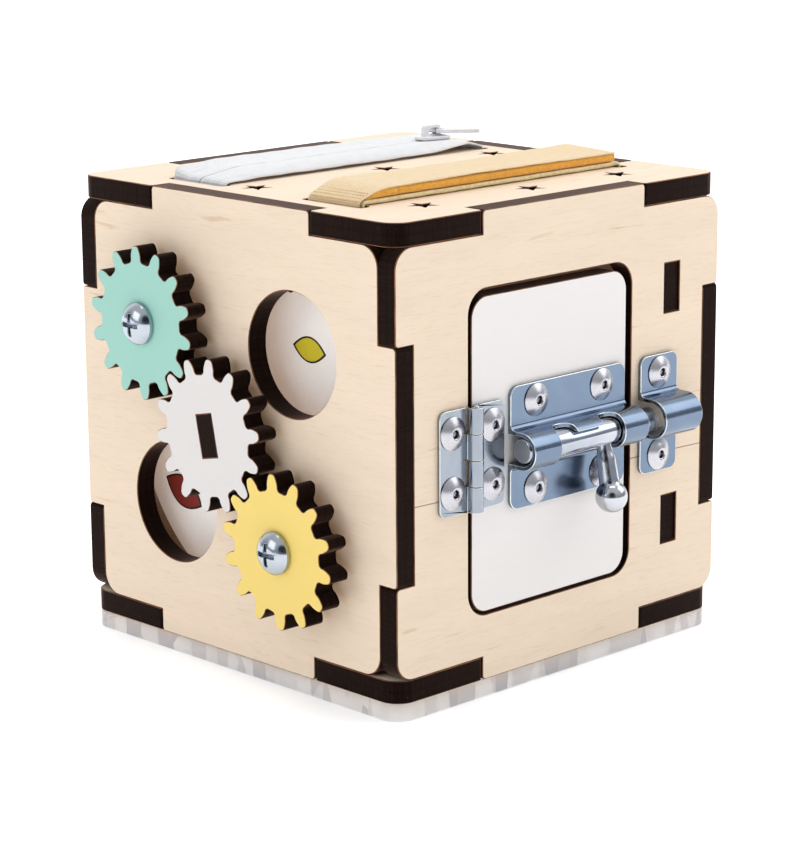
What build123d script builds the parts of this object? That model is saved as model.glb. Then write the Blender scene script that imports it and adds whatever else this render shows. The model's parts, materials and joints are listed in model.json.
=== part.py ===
from build123d import *
import os
from math import acos, cos, hypot, pi, radians, sin, sqrt, tan

# Activity cube: a plywood box on a clear base, with a bolted door on the front (-Y),
# a train of gears that turns a picture disc on the left (-X), and a zipper and a
# hook-and-loop strap on top. Millimetres, +Z up, origin under the middle of the base.

# Case
CUBE = 130.0
PLY = 6.5
BASE_T = 5.0
TAB = 65.0
CORNER_R = 6.0
TAB_R = 1.2
FIT = 0.05
RUN_FIT = 0.075

# Doorway and door
DOORWAY_X = -5.25
DOORWAY_Z = 63.75
DOORWAY_W = 65.5
DOORWAY_H = 90.5
DOORWAY_R = 7.0
DOOR_GAP_HINGE = 1.1
DOOR_GAP_LATCH = 2.3
DOOR_GAP_TOP = 2.1
DOOR_GAP_BOTTOM = 0.9

# Inner wall and its tenons
WALL_X = 44.8
TENON_H = 14.3
TENON_SPREAD = 68.0
TENON_RECESS = 0.6

# Hardware on the door face, all at one height
HARDWARE_Z = 63.5
SHEET = 1.2
HINGE_LEAF_W = 12.4
HINGE_LEAF_T = 1.0
HINGE_H = 29.0
HINGE_CORNER_R = 2.2
KNUCKLE_D = 4.4
KNUCKLES = 4
KNUCKLE_GAP = 0.15
HINGE_PIN_D = 2.0
HINGE_PIN_PROUD = 0.3
HINGE_NOTCH_GAP = 0.4
HINGE_RIVET_U = 7.6
HINGE_RIVET_SPREAD = 16.4

# Blind rivets
RIVET_D = 4.8
RIVET_HEAD_D = 9.2
RIVET_HEAD_H = 1.6
RIVET_RIM = 0.35
RIVET_HOLE_D = 2.5
RIVET_HOLE_DEPTH = 3.5
RIVET_TAIL_D = 5.8
RIVET_TAIL_L = 3.0

# Door bolt
BOLT_HINGE_GAP = 2.15
BOLT_L = 46.6
BOLT_H = 34.5
BOLT_CORNER_R = 3.0
BOLT_RIVET_SPREAD_X = 26.6
BOLT_RIVET_SPREAD_Z = 24.6
ROD_D = 7.6
ROD_OUT = 5.2
ROD_PLAY = 0.3
ROD_CHAMFER = 0.8
ROD_END_INSET = 0.2
ROD_TIP_GAP = 0.4
BEND_R = 1.5
KNOB_SLOT_FROM = -12.6
KNOB_SLOT_TO = 13.4
KNOB_SLOT_LIP = 2.2
KNOB_SLOT_OVER = 3.2
KNOB_SLOT_R = 4.0
KNOB_NOTCH_W = 7.6
KNOB_NOTCH_R = 3.4
KNOB_NOTCH_LIP = 4.9
KNOB_OFFSET = 9.3
KNOB_LEAN = 12.0
KNOB_REACH = 18.2
STEM_ROOT_D = 4.4
STEM_TIP_D = 5.9
STEM_SEAT = 1.0
BALL_D = 9.1

# Keeper
KEEPER_X = 38.4
KEEPER_L = 15.7
KEEPER_H = 34.3
KEEPER_CORNER_R = 2.6
KEEPER_PLAY = 0.8
KEEPER_RIVET_SPREAD = 24.0

# Gear train
TEETH = 14
MODULE = 2.8
PRESSURE_ANGLE = 20.0
TIP_R = 21.75
ROOT_CLEARANCE = 0.35
BACKLASH = 0.45
TIP_ROUND = 1.3
ROOT_ROUND = 1.2
FLANK_POINTS = 5
TRAIN_ANGLE = 135.0
WHITE_PHASE = 163.4
GEAR_T = 6.5
GEAR_GAP = 2.8
GEAR_END_PLAY = 0.1
KEY_H = 12.2
KEY_TILT = 12.0
SPACER_WALL = 4.0

# Windows and picture disc
WINDOW_D = 35.0
WINDOW_OFFSET = 25.0
DISC_R = 57.5
DISC_T = 3.0
DISC_GAP = 6.0

# Gear screws
SCREW_D = 6.0
SCREW_HEAD_D = 12.0
SCREW_HEAD_H = 3.8
SCREW_HEAD_RIM = 1.2
RECESS_L = 6.4
RECESS_W = 1.3
RECESS_DEPTH = 2.0
SCREW_HOLE_PLAY = 0.1
WASHER_D = 12.0
WASHER_T = 1.0
NUT_AF = 10.0
NUT_T = 3.0
SCREW_END = 0.5

# Slots, stars and straps on the top panel
SLOT_SPAN = 103.4
SLOT_SHIFT = 0.7
SLOT_W = 3.8
SLOT_L = 23.2
SLOT_R = 1.2
STRAP_Y = 28.0
STAR_R = 4.2
STAR_INNER_R = 1.8
STAR_POINTS = 5
STAR_ROW_MIDDLE_Y = 8.4
STAR_ROW_MIDDLE_X = (-47.0, 2.7, 47.0)
STAR_ROW_FRONT_Y = -47.5
STAR_ROW_FRONT_X = (-37.4, 4.3, 40.5)

# Zipper
ZIP_W = 22.4
ZIP_SLIT = 0.6
ZIP_T = 0.7
ZIP_LIFT = 2.65
ZIP_RISE_RUN = 13.0
ZIP_FALL_RUN = 6.4
ZIP_SLOT_EXIT = 0.9
TAIL_L = 10.0
TAIL_SHORT = 4.5
TAIL_R = 0.9
SLOT_EXIT_R = 1.6
RISE_R = 45.0
FALL_R = 9.0
COIL_W = 2.0
COIL_T = 0.9
COIL_RAIL = 0.7
COIL_PITCH = 2.0
COIL_TOOTH = 1.1
COIL_MARGIN = 2.0

# Zipper slider and pull
SLIDER_REST = 11.4
SLIDER_L = 10.4
SLIDER_WIDE = 8.4
SLIDER_NARROW = 5.6
SLIDER_R = 1.6
SLIDER_PLATE_T = 0.9
SLIDER_TAPE_GAP = 0.2
POST_L = 2.4
POST_PLAY = 0.075
CROWN_L = 6.6
CROWN_W = 2.2
CROWN_H = 3.4
CROWN_R = 1.2
CROWN_HOLE_L = 3.6
CROWN_HOLE_H = 1.9
CROWN_HOLE_R = 0.5
CROWN_HOLE_Z = 0.5
PULL_L = 19.0
PULL_W = 5.4
PULL_T = 1.2
PULL_R = 1.2
PULL_BAR_D = 1.0
PULL_BAR_SEAT = 0.4
PULL_EYE_L = 4.8
PULL_EYE_W = 3.0
PULL_EYE_R = 0.6
PULL_SHIFT = 0.9
PULL_DROOP = 5.0
PULL_HOLE_D = 2.4

# Hook-and-loop strap
STRAP_W = 20.0
STRAP_T = 1.2
RIBBON_T = 0.8
LOWER_LIFT = 0.9
UPPER_LIFT = 4.35
UPPER_HINGE_RUN = 13.0
UPPER_END_SHORT = 1.4
UPPER_SPLIT = 0.3
UPPER_RISE_R = 14.0
UPPER_CREST = 5.5
UPPER_EXIT_Z = 1.2
UPPER_EXIT_R = 1.8
STRAP_SIDE = 0.75
PILE_T = 2.2
PILE_HINGE_GAP = 0.8
PILE_MARGIN = 0.6

# Values that follow from the driving dimensions
HALF = CUBE / 2
INNER = CUBE - 2 * PLY
MID_Z = BASE_T + HALF
TOP_Z = BASE_T + CUBE
HINGE_X = DOORWAY_X - DOORWAY_W / 2 + DOOR_GAP_HINGE / 2
KNUCKLE_R = KNUCKLE_D / 2
BOLT_X = HINGE_X + HINGE_LEAF_W + BOLT_HINGE_GAP + BOLT_L / 2
KNOB_X = BOLT_X + KNOB_OFFSET
ROD_R = ROD_D / 2
KEEPER_MOUTH = KEEPER_X - KEEPER_L / 2
PITCH_R = MODULE * TEETH / 2
GEAR_CENTRES = 2 * PITCH_R
ROOT_R = GEAR_CENTRES - TIP_R - ROOT_CLEARANCE
KEY_R = hypot(PLY / 2, KEY_H / 2)
KEY_HOLE_R = KEY_R + RUN_FIT
SCREW_HOLE_D = SCREW_D + 2 * SCREW_HOLE_PLAY
SLOT_LEFT = SLOT_SHIFT - SLOT_SPAN / 2
SLOT_RIGHT = SLOT_SHIFT + SLOT_SPAN / 2
ZIP_RISE_END = SLOT_LEFT + ZIP_RISE_RUN
ZIP_FALL_START = SLOT_RIGHT - ZIP_FALL_RUN
SLIDER_X = SLOT_RIGHT - SLIDER_REST
UPPER_HINGE_X = SLOT_LEFT + UPPER_HINGE_RUN
UPPER_END_X = SLOT_RIGHT - UPPER_END_SHORT
PILE_FROM = UPPER_HINGE_X + PILE_HINGE_GAP

# Faces of the case: local x to the viewer's right, local y up, local z outwards
gear_face = Plane(origin=(-HALF, 0, MID_Z), x_dir=(0, -1, 0), z_dir=(-1, 0, 0))
door_face = Plane(origin=(0, -HALF, MID_Z), x_dir=(1, 0, 0), z_dir=(0, -1, 0))
right_face = Plane(origin=(HALF, 0, MID_Z), x_dir=(0, 1, 0), z_dir=(1, 0, 0))
back_face = Plane(origin=(0, HALF, MID_Z), x_dir=(-1, 0, 0), z_dir=(0, 1, 0))
top_face = Plane(origin=(0, 0, TOP_Z))
bottom_face = Plane(origin=(0, 0, BASE_T))


def polar(radius, angle):
    """Point at a distance and an angle in degrees from the centre of a face."""
    return radius * cos(radians(angle)), radius * sin(radians(angle))


def on_face(plane, part, u=0.0, v=0.0, out=0.0):
    """Set a part that was made at the origin on a face of the case."""
    return plane.location * Pos(u, v, out) * part


def box_between(u0, u1, v0, v1, w0, w1):
    """Box between two corners."""
    return Pos((u0 + u1) / 2, (v0 + v1) / 2, (w0 + w1) / 2) * Box(u1 - u0, v1 - v0, w1 - w0)


def bar_along_x(sketch, u0, u1):
    """Carry a section drawn in the YZ plane along X."""
    return Pos(u0, 0, 0) * extrude(Plane.YZ * sketch, u1 - u0)


def rod_along_x(radius, u0, u1):
    return bar_along_x(Circle(radius), u0, u1)


# Plywood case

def rounded_at(sketch, corners):
    """Round the corners of an outline that lie at the given places, in any quadrant."""
    def is_corner(vertex):
        return any(abs(abs(vertex.X) - x) < FIT and abs(abs(vertex.Y) - y) < FIT for x, y in corners)
    return fillet(sketch.vertices().filter_by(is_corner), TAB_R)


def cap_outline():
    """Top and bottom: a rounded square with a notch in the middle of each edge."""
    outline = RectangleRounded(CUBE, CUBE, CORNER_R)
    for side in (-1, 1):
        outline -= Pos(side * (HALF - PLY / 2), 0) * Rectangle(PLY, TAB)
        outline -= Pos(0, side * (HALF - PLY / 2)) * Rectangle(TAB, PLY)
    return rounded_at(outline, [(HALF, TAB / 2), (TAB / 2, HALF)])


def middle_finger_outline():
    """Gear and right panels: one finger in the middle of each edge."""
    outline = RectangleRounded(INNER, INNER, CORNER_R) + RectangleRounded(TAB, CUBE, TAB_R)
    return outline + RectangleRounded(CUBE, TAB, TAB_R)


def corner_finger_outline():
    """Door and back panels: fingers at the ends of the upright edges."""
    outline = RectangleRounded(CUBE, INNER, CORNER_R)
    for side in (-1, 1):
        outline -= Pos(side * (HALF - PLY / 2), 0) * Rectangle(PLY, TAB)
    outline = rounded_at(outline, [(HALF, TAB / 2)])
    return outline + RectangleRounded(TAB, CUBE, TAB_R)


def star():
    """Five-pointed cut-out."""
    step = 180.0 / STAR_POINTS
    radii = (STAR_R, STAR_INNER_R)
    points = [polar(radii[i % 2], 90.0 + i * step) for i in range(2 * STAR_POINTS)]
    return make_face(Polyline(*points, close=True))


def tenon_slots(side):
    """Slots for the inner wall's tenons, on the front (1) or the back (-1)."""
    slot = Rectangle(PLY + 2 * FIT, TENON_H + 2 * FIT)
    places = Locations((side * WALL_X, TENON_SPREAD / 2), (side * WALL_X, -TENON_SPREAD / 2))
    return Sketch() + [place * slot for place in places]


def top_panel():
    outline = cap_outline()
    slot = RectangleRounded(SLOT_W, SLOT_L, SLOT_R)
    for x in (SLOT_LEFT, SLOT_RIGHT):
        for y in (-STRAP_Y, STRAP_Y):
            outline -= Pos(x, y) * slot
    for x in STAR_ROW_MIDDLE_X:
        outline -= Pos(x, STAR_ROW_MIDDLE_Y) * star()
    for x in STAR_ROW_FRONT_X:
        outline -= Pos(x, STAR_ROW_FRONT_Y) * star()
    return extrude(top_face * outline, -PLY)


def gear_panel():
    outline = middle_finger_outline() - Circle(KEY_HOLE_R)
    for side in (-1, 1):
        outline -= Pos(side * WINDOW_OFFSET, side * WINDOW_OFFSET) * Circle(WINDOW_D / 2)
        outline -= Pos(*polar(side * GEAR_CENTRES, TRAIN_ANGLE)) * Circle(SCREW_HOLE_D / 2)
    return extrude(gear_face * outline, -PLY)


def rivet_places(group):
    """Places of a group of rivets on the door face."""
    z = HARDWARE_Z - HALF
    if group == "keeper":
        return [(KEEPER_X, z + s * KEEPER_RIVET_SPREAD / 2) for s in (1, -1)]
    if group == "bolt":
        return [(BOLT_X + s * BOLT_RIVET_SPREAD_X / 2, z + t * BOLT_RIVET_SPREAD_Z / 2)
                for s in (-1, 1) for t in (1, -1)]
    side = -1 if group == "hinge panel" else 1
    return [(HINGE_X + side * HINGE_RIVET_U, z + s * HINGE_RIVET_SPREAD / 2) for s in (1, -1)]


def rivet_holes(*groups):
    hole = Circle(RIVET_D / 2 + FIT)
    return Sketch() + [Pos(*place) * hole for group in groups for place in rivet_places(group)]


def door_panel():
    doorway = Pos(DOORWAY_X, DOORWAY_Z - HALF) * RectangleRounded(DOORWAY_W, DOORWAY_H, DOORWAY_R)
    outline = corner_finger_outline() - doorway - tenon_slots(1) - rivet_holes("hinge panel", "keeper")
    return extrude(door_face * outline, -PLY)


def back_panel():
    return extrude(back_face * (corner_finger_outline() - tenon_slots(-1)), -PLY)


def inner_wall():
    """Partition from the front to the back, with a pair of tenons at each end."""
    wall = box_between(WALL_X - PLY / 2, WALL_X + PLY / 2, -INNER / 2, INNER / 2, -INNER / 2, INNER / 2)
    reach = HALF - TENON_RECESS
    for z in (-TENON_SPREAD / 2, TENON_SPREAD / 2):
        wall += Pos(WALL_X, 0, z) * Box(PLY, 2 * reach, TENON_H)
    return Pos(0, 0, MID_Z) * wall


def base_plate():
    return extrude(RectangleRounded(CUBE, CUBE, CORNER_R), BASE_T)


# Door, hinge and rivets

def door():
    width = DOORWAY_W - DOOR_GAP_HINGE - DOOR_GAP_LATCH
    height = DOORWAY_H - DOOR_GAP_TOP - DOOR_GAP_BOTTOM
    x = DOORWAY_X + (DOOR_GAP_HINGE - DOOR_GAP_LATCH) / 2
    z = DOORWAY_Z - HALF + (DOOR_GAP_BOTTOM - DOOR_GAP_TOP) / 2
    corner = DOORWAY_R - DOOR_GAP_HINGE
    leaf = Pos(x, z) * RectangleRounded(width, height, corner)
    return extrude(door_face * (leaf - rivet_holes("hinge door", "bolt")), -PLY)


def knuckle_span(index):
    """Lower and upper end of a knuckle, counted from the top."""
    pitch = HINGE_H / KNUCKLES
    top = HINGE_H / 2 - index * pitch
    return top - pitch + KNUCKLE_GAP / 2, top - KNUCKLE_GAP / 2


def hinge_leaf(side, own_first, group):
    """Leaf on the panel (-1) or on the door (1), with every second knuckle of the barrel."""
    flange = Pos(side * HINGE_LEAF_W / 2, 0) * Rectangle(HINGE_LEAF_W, HINGE_H)
    outer = flange.vertices().filter_by(lambda v: abs(v.X) > HINGE_LEAF_W / 2)
    leaf = extrude(fillet(outer, HINGE_CORNER_R), HINGE_LEAF_T)
    reach = KNUCKLE_R + HINGE_NOTCH_GAP
    for index in range(KNUCKLES):
        low, high = knuckle_span(index)
        if index % 2 == own_first:
            barrel = Cylinder(KNUCKLE_R, high - low)
            leaf += Pos(0, (low + high) / 2, KNUCKLE_R) * Rot(90, 0, 0) * barrel
        else:
            low, high = low - KNUCKLE_GAP, high + KNUCKLE_GAP
            leaf -= Pos(0, (low + high) / 2, 0) * Box(2 * reach, high - low, KNUCKLE_D)
    gaps = [knuckle_span(i)[0] - KNUCKLE_GAP / 2 for i in range(KNUCKLES - 1)]
    for gap in gaps:
        leaf -= Pos(0, gap, 0) * Box(2 * reach, KNUCKLE_GAP, KNUCKLE_D)
    leaf -= Pos(0, 0, KNUCKLE_R) * Rot(90, 0, 0) * Cylinder(HINGE_PIN_D / 2 + FIT, 2 * HINGE_H)
    z = HARDWARE_Z - HALF
    for u, v in rivet_places(group):
        leaf -= Pos(u - HINGE_X, v - z, 0) * Cylinder(RIVET_D / 2 + FIT, 4 * HINGE_LEAF_T)
    return on_face(door_face, leaf, HINGE_X, z)


def hinge_pin():
    pin = Rot(90, 0, 0) * Cylinder(HINGE_PIN_D / 2, HINGE_H + 2 * HINGE_PIN_PROUD)
    return on_face(door_face, pin, HINGE_X, HARDWARE_Z - HALF, KNUCKLE_R)


def rivet(grip):
    """Blind rivet: domed head on z = 0, shank through the grip, swollen tail, mandrel hole."""
    head_r = RIVET_HEAD_D / 2
    hole_r = RIVET_HOLE_D / 2
    crown = (head_r + hole_r) / 2
    dome = [
        Line((0, 0), (head_r, 0)),
        Line((head_r, 0), (head_r, RIVET_RIM)),
        ThreePointArc((head_r, RIVET_RIM), (crown, RIVET_HEAD_H - RIVET_RIM), (hole_r, RIVET_HEAD_H)),
        Line((hole_r, RIVET_HEAD_H), (0, RIVET_HEAD_H)),
        Line((0, RIVET_HEAD_H), (0, 0)),
    ]
    body = revolve(Plane.XZ * make_face(dome), Axis.Z)
    body += Pos(0, 0, -grip / 2) * Cylinder(RIVET_D / 2, grip)
    body += Pos(0, 0, -grip - RIVET_TAIL_L / 2) * Cylinder(RIVET_TAIL_D / 2, RIVET_TAIL_L)
    hole = Cylinder(hole_r, RIVET_HOLE_DEPTH + RIVET_HEAD_H)
    return body - Pos(0, 0, (RIVET_HEAD_H - RIVET_HOLE_DEPTH) / 2) * hole


def rivets(group, seat):
    """A group of rivets seated on metal of the given thickness."""
    return [on_face(door_face, rivet(seat + PLY), u, v, seat) for u, v in rivet_places(group)]


# Bolt and keeper

def channel_plate(length, height, corner_r, inner_r):
    """Pressed plate: two flanges joined by a half-round channel over the rod's line."""
    outer_r = inner_r + SHEET
    section = Pos(0, SHEET / 2) * Rectangle(height, SHEET)
    section += Pos(0, ROD_OUT / 2) * Rectangle(2 * outer_r, ROD_OUT) + Pos(0, ROD_OUT) * Circle(outer_r)
    bends = section.vertices().filter_by(
        lambda v: abs(abs(v.X) - outer_r) < FIT and abs(v.Y - SHEET) < FIT)
    section = fillet(bends, BEND_R)
    section -= Pos(0, ROD_OUT / 2) * Rectangle(2 * inner_r, ROD_OUT) + Pos(0, ROD_OUT) * Circle(inner_r)
    pressed = bar_along_x(section, -length / 2, length / 2)
    outline = extrude(RectangleRounded(length, height, corner_r), ROD_OUT + 2 * outer_r)
    return pressed & outline


def with_rivet_holes(plate, group, x):
    z = HARDWARE_Z - HALF
    for u, v in rivet_places(group):
        plate -= Pos(u - x, v - z, 0) * Cylinder(RIVET_D / 2 + FIT, 4 * SHEET)
    return plate


def bolt_housing():
    """Plate whose channel is open for the knob, with a notch over the rod at each end."""
    plate = channel_plate(BOLT_L, BOLT_H, BOLT_CORNER_R, ROD_R + ROD_PLAY)
    below = BOLT_H / 2
    opening = RectangleRounded(KNOB_SLOT_TO - KNOB_SLOT_FROM, KNOB_SLOT_OVER + below, KNOB_SLOT_R)
    opening = Pos((KNOB_SLOT_FROM + KNOB_SLOT_TO) / 2, (KNOB_SLOT_OVER - below) / 2) * opening
    depth = 2 * (ROD_OUT + ROD_D)
    plate -= Pos(0, 0, KNOB_SLOT_LIP) * extrude(opening, depth)
    notch = RectangleRounded(KNOB_NOTCH_W, depth, KNOB_NOTCH_R)
    for x in (KNOB_SLOT_FROM + KNOB_NOTCH_W / 2, KNOB_SLOT_TO - KNOB_NOTCH_W / 2):
        upwards = Plane(origin=(x, 0, KNOB_NOTCH_LIP + depth / 2), x_dir=(1, 0, 0), z_dir=(0, 1, 0))
        plate -= extrude(upwards * notch, below)
    return on_face(door_face, with_rivet_holes(plate, "bolt", BOLT_X), BOLT_X, HARDWARE_Z - HALF)


def bolt_keeper():
    plate = channel_plate(KEEPER_L, KEEPER_H, KEEPER_CORNER_R, ROD_R + KEEPER_PLAY)
    return on_face(door_face, with_rivet_holes(plate, "keeper", KEEPER_X), KEEPER_X, HARDWARE_Z - HALF)


def knob_axis():
    """Location of the knob: its z axis runs down and outwards from the rod's centre line."""
    return Pos(KNOB_X, HARDWARE_Z - HALF, ROD_OUT) * Rot(90 - KNOB_LEAN, 0, 0)


def bolt_rod():
    left = BOLT_X - BOLT_L / 2 + ROD_END_INSET
    right = KEEPER_MOUTH - ROD_TIP_GAP
    rod = rod_along_x(ROD_R, left, right)
    rod = chamfer(rod.edges().filter_by(GeomType.CIRCLE), ROD_CHAMFER)
    rod = Pos(0, HARDWARE_Z - HALF, ROD_OUT) * rod
    rod -= knob_axis() * Pos(0, 0, STEM_SEAT + ROD_R) * Cylinder(STEM_ROOT_D / 2 + FIT, 2 * ROD_R)
    return door_face.location * rod


def bolt_knob():
    """Tapered stem with a ball on its end, seated in a hole of the rod."""
    ball_r = BALL_D / 2
    neck = sqrt(ball_r ** 2 - (STEM_TIP_D / 2) ** 2)
    collar = ROD_R + FIT
    profile = [
        Line((0, STEM_SEAT), (STEM_ROOT_D / 2, STEM_SEAT)),
        Line((STEM_ROOT_D / 2, STEM_SEAT), (STEM_ROOT_D / 2, collar)),
        Line((STEM_ROOT_D / 2, collar), (STEM_TIP_D / 2, KNOB_REACH - neck)),
        ThreePointArc((STEM_TIP_D / 2, KNOB_REACH - neck), (ball_r, KNOB_REACH), (0, KNOB_REACH + ball_r)),
        Line((0, KNOB_REACH + ball_r), (0, STEM_SEAT)),
    ]
    knob = revolve(Plane.XZ * make_face(profile), Axis.Z)
    return door_face.location * knob_axis() * knob


# Gears

def involute_angle(radius, base_r):
    """Polar angle in radians of the involute of the base circle at a radius."""
    slope = acos(base_r / radius)
    return tan(slope) - slope


def gear_outline(phase):
    """Spur gear: involute flanks, radial below the base circle, arcs at tips and roots."""
    base_r = PITCH_R * cos(radians(PRESSURE_ANGLE))
    half_tooth = (pi * MODULE / 2 - BACKLASH) / 2 / PITCH_R + involute_angle(PITCH_R, base_r)
    pitch = 2 * pi / TEETH
    radii = [base_r + (TIP_R - base_r) * i / (FLANK_POINTS - 1) for i in range(FLANK_POINTS)]
    edges = []
    for tooth in range(TEETH):
        middle = radians(phase) + tooth * pitch
        def at(radius, turn):
            return radius * cos(middle + turn), radius * sin(middle + turn)
        rise = [at(r, -half_tooth + involute_angle(r, base_r)) for r in radii]
        fall = [at(r, half_tooth - involute_angle(r, base_r)) for r in reversed(radii)]
        edges.append(Line(at(ROOT_R, -half_tooth), rise[0]))
        edges.append(Spline(*rise))
        edges.append(ThreePointArc(rise[-1], at(TIP_R, 0), fall[0]))
        edges.append(Spline(*fall))
        edges.append(Line(fall[-1], at(ROOT_R, half_tooth)))
        foot = at(ROOT_R, half_tooth)
        next_foot = at(ROOT_R, pitch - half_tooth)
        edges.append(ThreePointArc(foot, at(ROOT_R, pitch / 2), next_foot))
    outline = make_face(edges)
    tips = outline.vertices().filter_by(lambda v: hypot(v.X, v.Y) > TIP_R - FIT)
    outline = fillet(tips, TIP_ROUND)
    roots = outline.vertices().filter_by(lambda v: hypot(v.X, v.Y) < ROOT_R + FIT)
    return fillet(roots, ROOT_ROUND)


def partner_phase():
    """Phase of the outer gears, so that a gap meets each tooth of the white gear."""
    return 2 * TRAIN_ANGLE + 180.0 - WHITE_PHASE - 180.0 / TEETH


def key_section(play=0.0):
    return Rot(0, 0, KEY_TILT) * Rectangle(PLY + 2 * play, KEY_H + 2 * play)


def gear_on_panel(outline, u=0.0, v=0.0):
    return on_face(gear_face, extrude(outline, GEAR_T), u, v, GEAR_GAP)


def outer_gear(side):
    outline = gear_outline(partner_phase()) - Circle(SCREW_D / 2 + RUN_FIT)
    return gear_on_panel(outline, *polar(side * GEAR_CENTRES, TRAIN_ANGLE))


def white_gear():
    return gear_on_panel(gear_outline(WHITE_PHASE) - key_section(FIT))


def gear_key():
    """Plywood strip from the white gear's face through the panel to the back of the disc."""
    front = GEAR_GAP + GEAR_T
    back = PLY + DISC_GAP + DISC_T
    return on_face(gear_face, extrude(key_section(), front + back), out=-back)


def picture_disc():
    disc = extrude(Circle(DISC_R) - key_section(FIT), DISC_T)
    return on_face(gear_face, disc, out=-PLY - DISC_GAP - DISC_T)


def gear_spacers():
    """Ring behind each gear: one on each screw and one round the key."""
    thickness = GEAR_GAP - GEAR_END_PLAY
    rings = [on_face(gear_face, extrude(Circle(KEY_HOLE_R + SPACER_WALL) - Circle(KEY_HOLE_R), thickness))]
    bore = SCREW_HOLE_D / 2
    ring = extrude(Circle(bore + SPACER_WALL) - Circle(bore), thickness)
    for side in (1, -1):
        rings.append(on_face(gear_face, ring, *polar(side * GEAR_CENTRES, TRAIN_ANGLE)))
    return rings


def gear_screw():
    """Pan-head screw with a cross recess, its head's seat on z = 0."""
    head_r = SCREW_HEAD_D / 2
    shoulder = head_r * sqrt(1 / 2)
    crown = SCREW_HEAD_RIM + (SCREW_HEAD_H - SCREW_HEAD_RIM) * sqrt(1 / 2)
    profile = [
        Line((0, 0), (head_r, 0)),
        Line((head_r, 0), (head_r, SCREW_HEAD_RIM)),
        ThreePointArc((head_r, SCREW_HEAD_RIM), (shoulder, crown), (0, SCREW_HEAD_H)),
        Line((0, SCREW_HEAD_H), (0, 0)),
    ]
    screw = revolve(Plane.XZ * make_face(profile), Axis.Z)
    length = GEAR_END_PLAY + GEAR_T + GEAR_GAP + PLY + WASHER_T + NUT_T + SCREW_END
    screw += Pos(0, 0, -length / 2) * Cylinder(SCREW_D / 2, length)
    for turn in (0, 90):
        slot = Box(RECESS_L, RECESS_W, 2 * RECESS_DEPTH)
        screw -= Pos(0, 0, SCREW_HEAD_H) * Rot(0, 0, turn) * slot
    return screw


def on_screws(part, out):
    places = [polar(side * GEAR_CENTRES, TRAIN_ANGLE) for side in (1, -1)]
    return [on_face(gear_face, part, u, v, out) for u, v in places]


def gear_washer():
    return extrude(Circle(WASHER_D / 2) - Circle(SCREW_HOLE_D / 2), WASHER_T)


def gear_nut():
    hexagon = RegularPolygon(NUT_AF / 2, 6, major_radius=False)
    return extrude(hexagon - Circle(SCREW_D / 2 + FIT), NUT_T)


# Zipper and strap

def band(points, radii, thickness, y0, y1):
    """Flat strap: a line in the XZ plane with rounded corners, given a thickness and a width."""
    route = FilletPolyline(*points, radius=radii)
    section = Plane.XZ * trace(route, thickness)
    return Pos(0, y1, TOP_Z) * extrude(section, y1 - y0, dir=(0, -1, 0))


def zipper_route():
    """Tape from its tail under the panel, up a slot, along the top and down the other slot."""
    under = -PLY - ZIP_T / 2
    points = [
        (SLOT_LEFT + TAIL_L, under),
        (SLOT_LEFT, under),
        (SLOT_LEFT, ZIP_SLOT_EXIT),
        (ZIP_RISE_END, ZIP_LIFT),
        (ZIP_FALL_START, ZIP_LIFT),
        (SLOT_RIGHT, ZIP_SLOT_EXIT),
        (SLOT_RIGHT, under),
        (SLOT_RIGHT + TAIL_SHORT, under),
    ]
    return points, [TAIL_R, SLOT_EXIT_R, RISE_R, FALL_R, SLOT_EXIT_R, TAIL_R]


def zipper_tape(side):
    inner = STRAP_Y + side * ZIP_SLIT / 2
    outer = STRAP_Y + side * ZIP_W / 2
    points, radii = zipper_route()
    return band(points, radii, ZIP_T, min(inner, outer), max(inner, outer))


def zipper_coil(side):
    """Row of teeth under the level stretch of one tape: a rail with a tooth at each pitch."""
    start = ZIP_RISE_END + 2 * COIL_MARGIN
    end = ZIP_FALL_START - COIL_MARGIN
    count = int((end - start) / COIL_PITCH)
    outline = Pos((start + end) / 2, COIL_W - COIL_RAIL / 2) * Rectangle(end - start, COIL_RAIL)
    teeth = GridLocations(COIL_PITCH, 0, count, 1)
    tooth = Rectangle(COIL_TOOTH, COIL_W)
    outline += [Pos((start + end) / 2, COIL_W / 2) * place * tooth for place in teeth]
    row = Pos(0, ZIP_SLIT / 2, ZIP_LIFT - ZIP_T / 2 - COIL_T) * extrude(outline, COIL_T)
    if side < 0:
        row = mirror(row, Plane.XZ)
    return Pos(0, STRAP_Y, TOP_Z) * row


def slider_outline():
    """Plate of the slider: broad towards the open side of the zipper, narrow behind."""
    broad = SLIDER_WIDE / 2 - SLIDER_R
    narrow = SLIDER_NARROW / 2 - SLIDER_R
    x = SLIDER_L / 2 - SLIDER_R
    corners = [(x, broad), (x, -broad), (-x, narrow), (-x, -narrow)]
    rounds = [Pos(*corner) * Circle(SLIDER_R) for corner in corners]
    return make_hull(Sketch(children=rounds).edges())


def crown_axis_z():
    """Height of the pull's bar above the middle of the tape."""
    return ZIP_T / 2 + SLIDER_TAPE_GAP + SLIDER_PLATE_T + CROWN_HOLE_Z + CROWN_HOLE_H / 2


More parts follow.
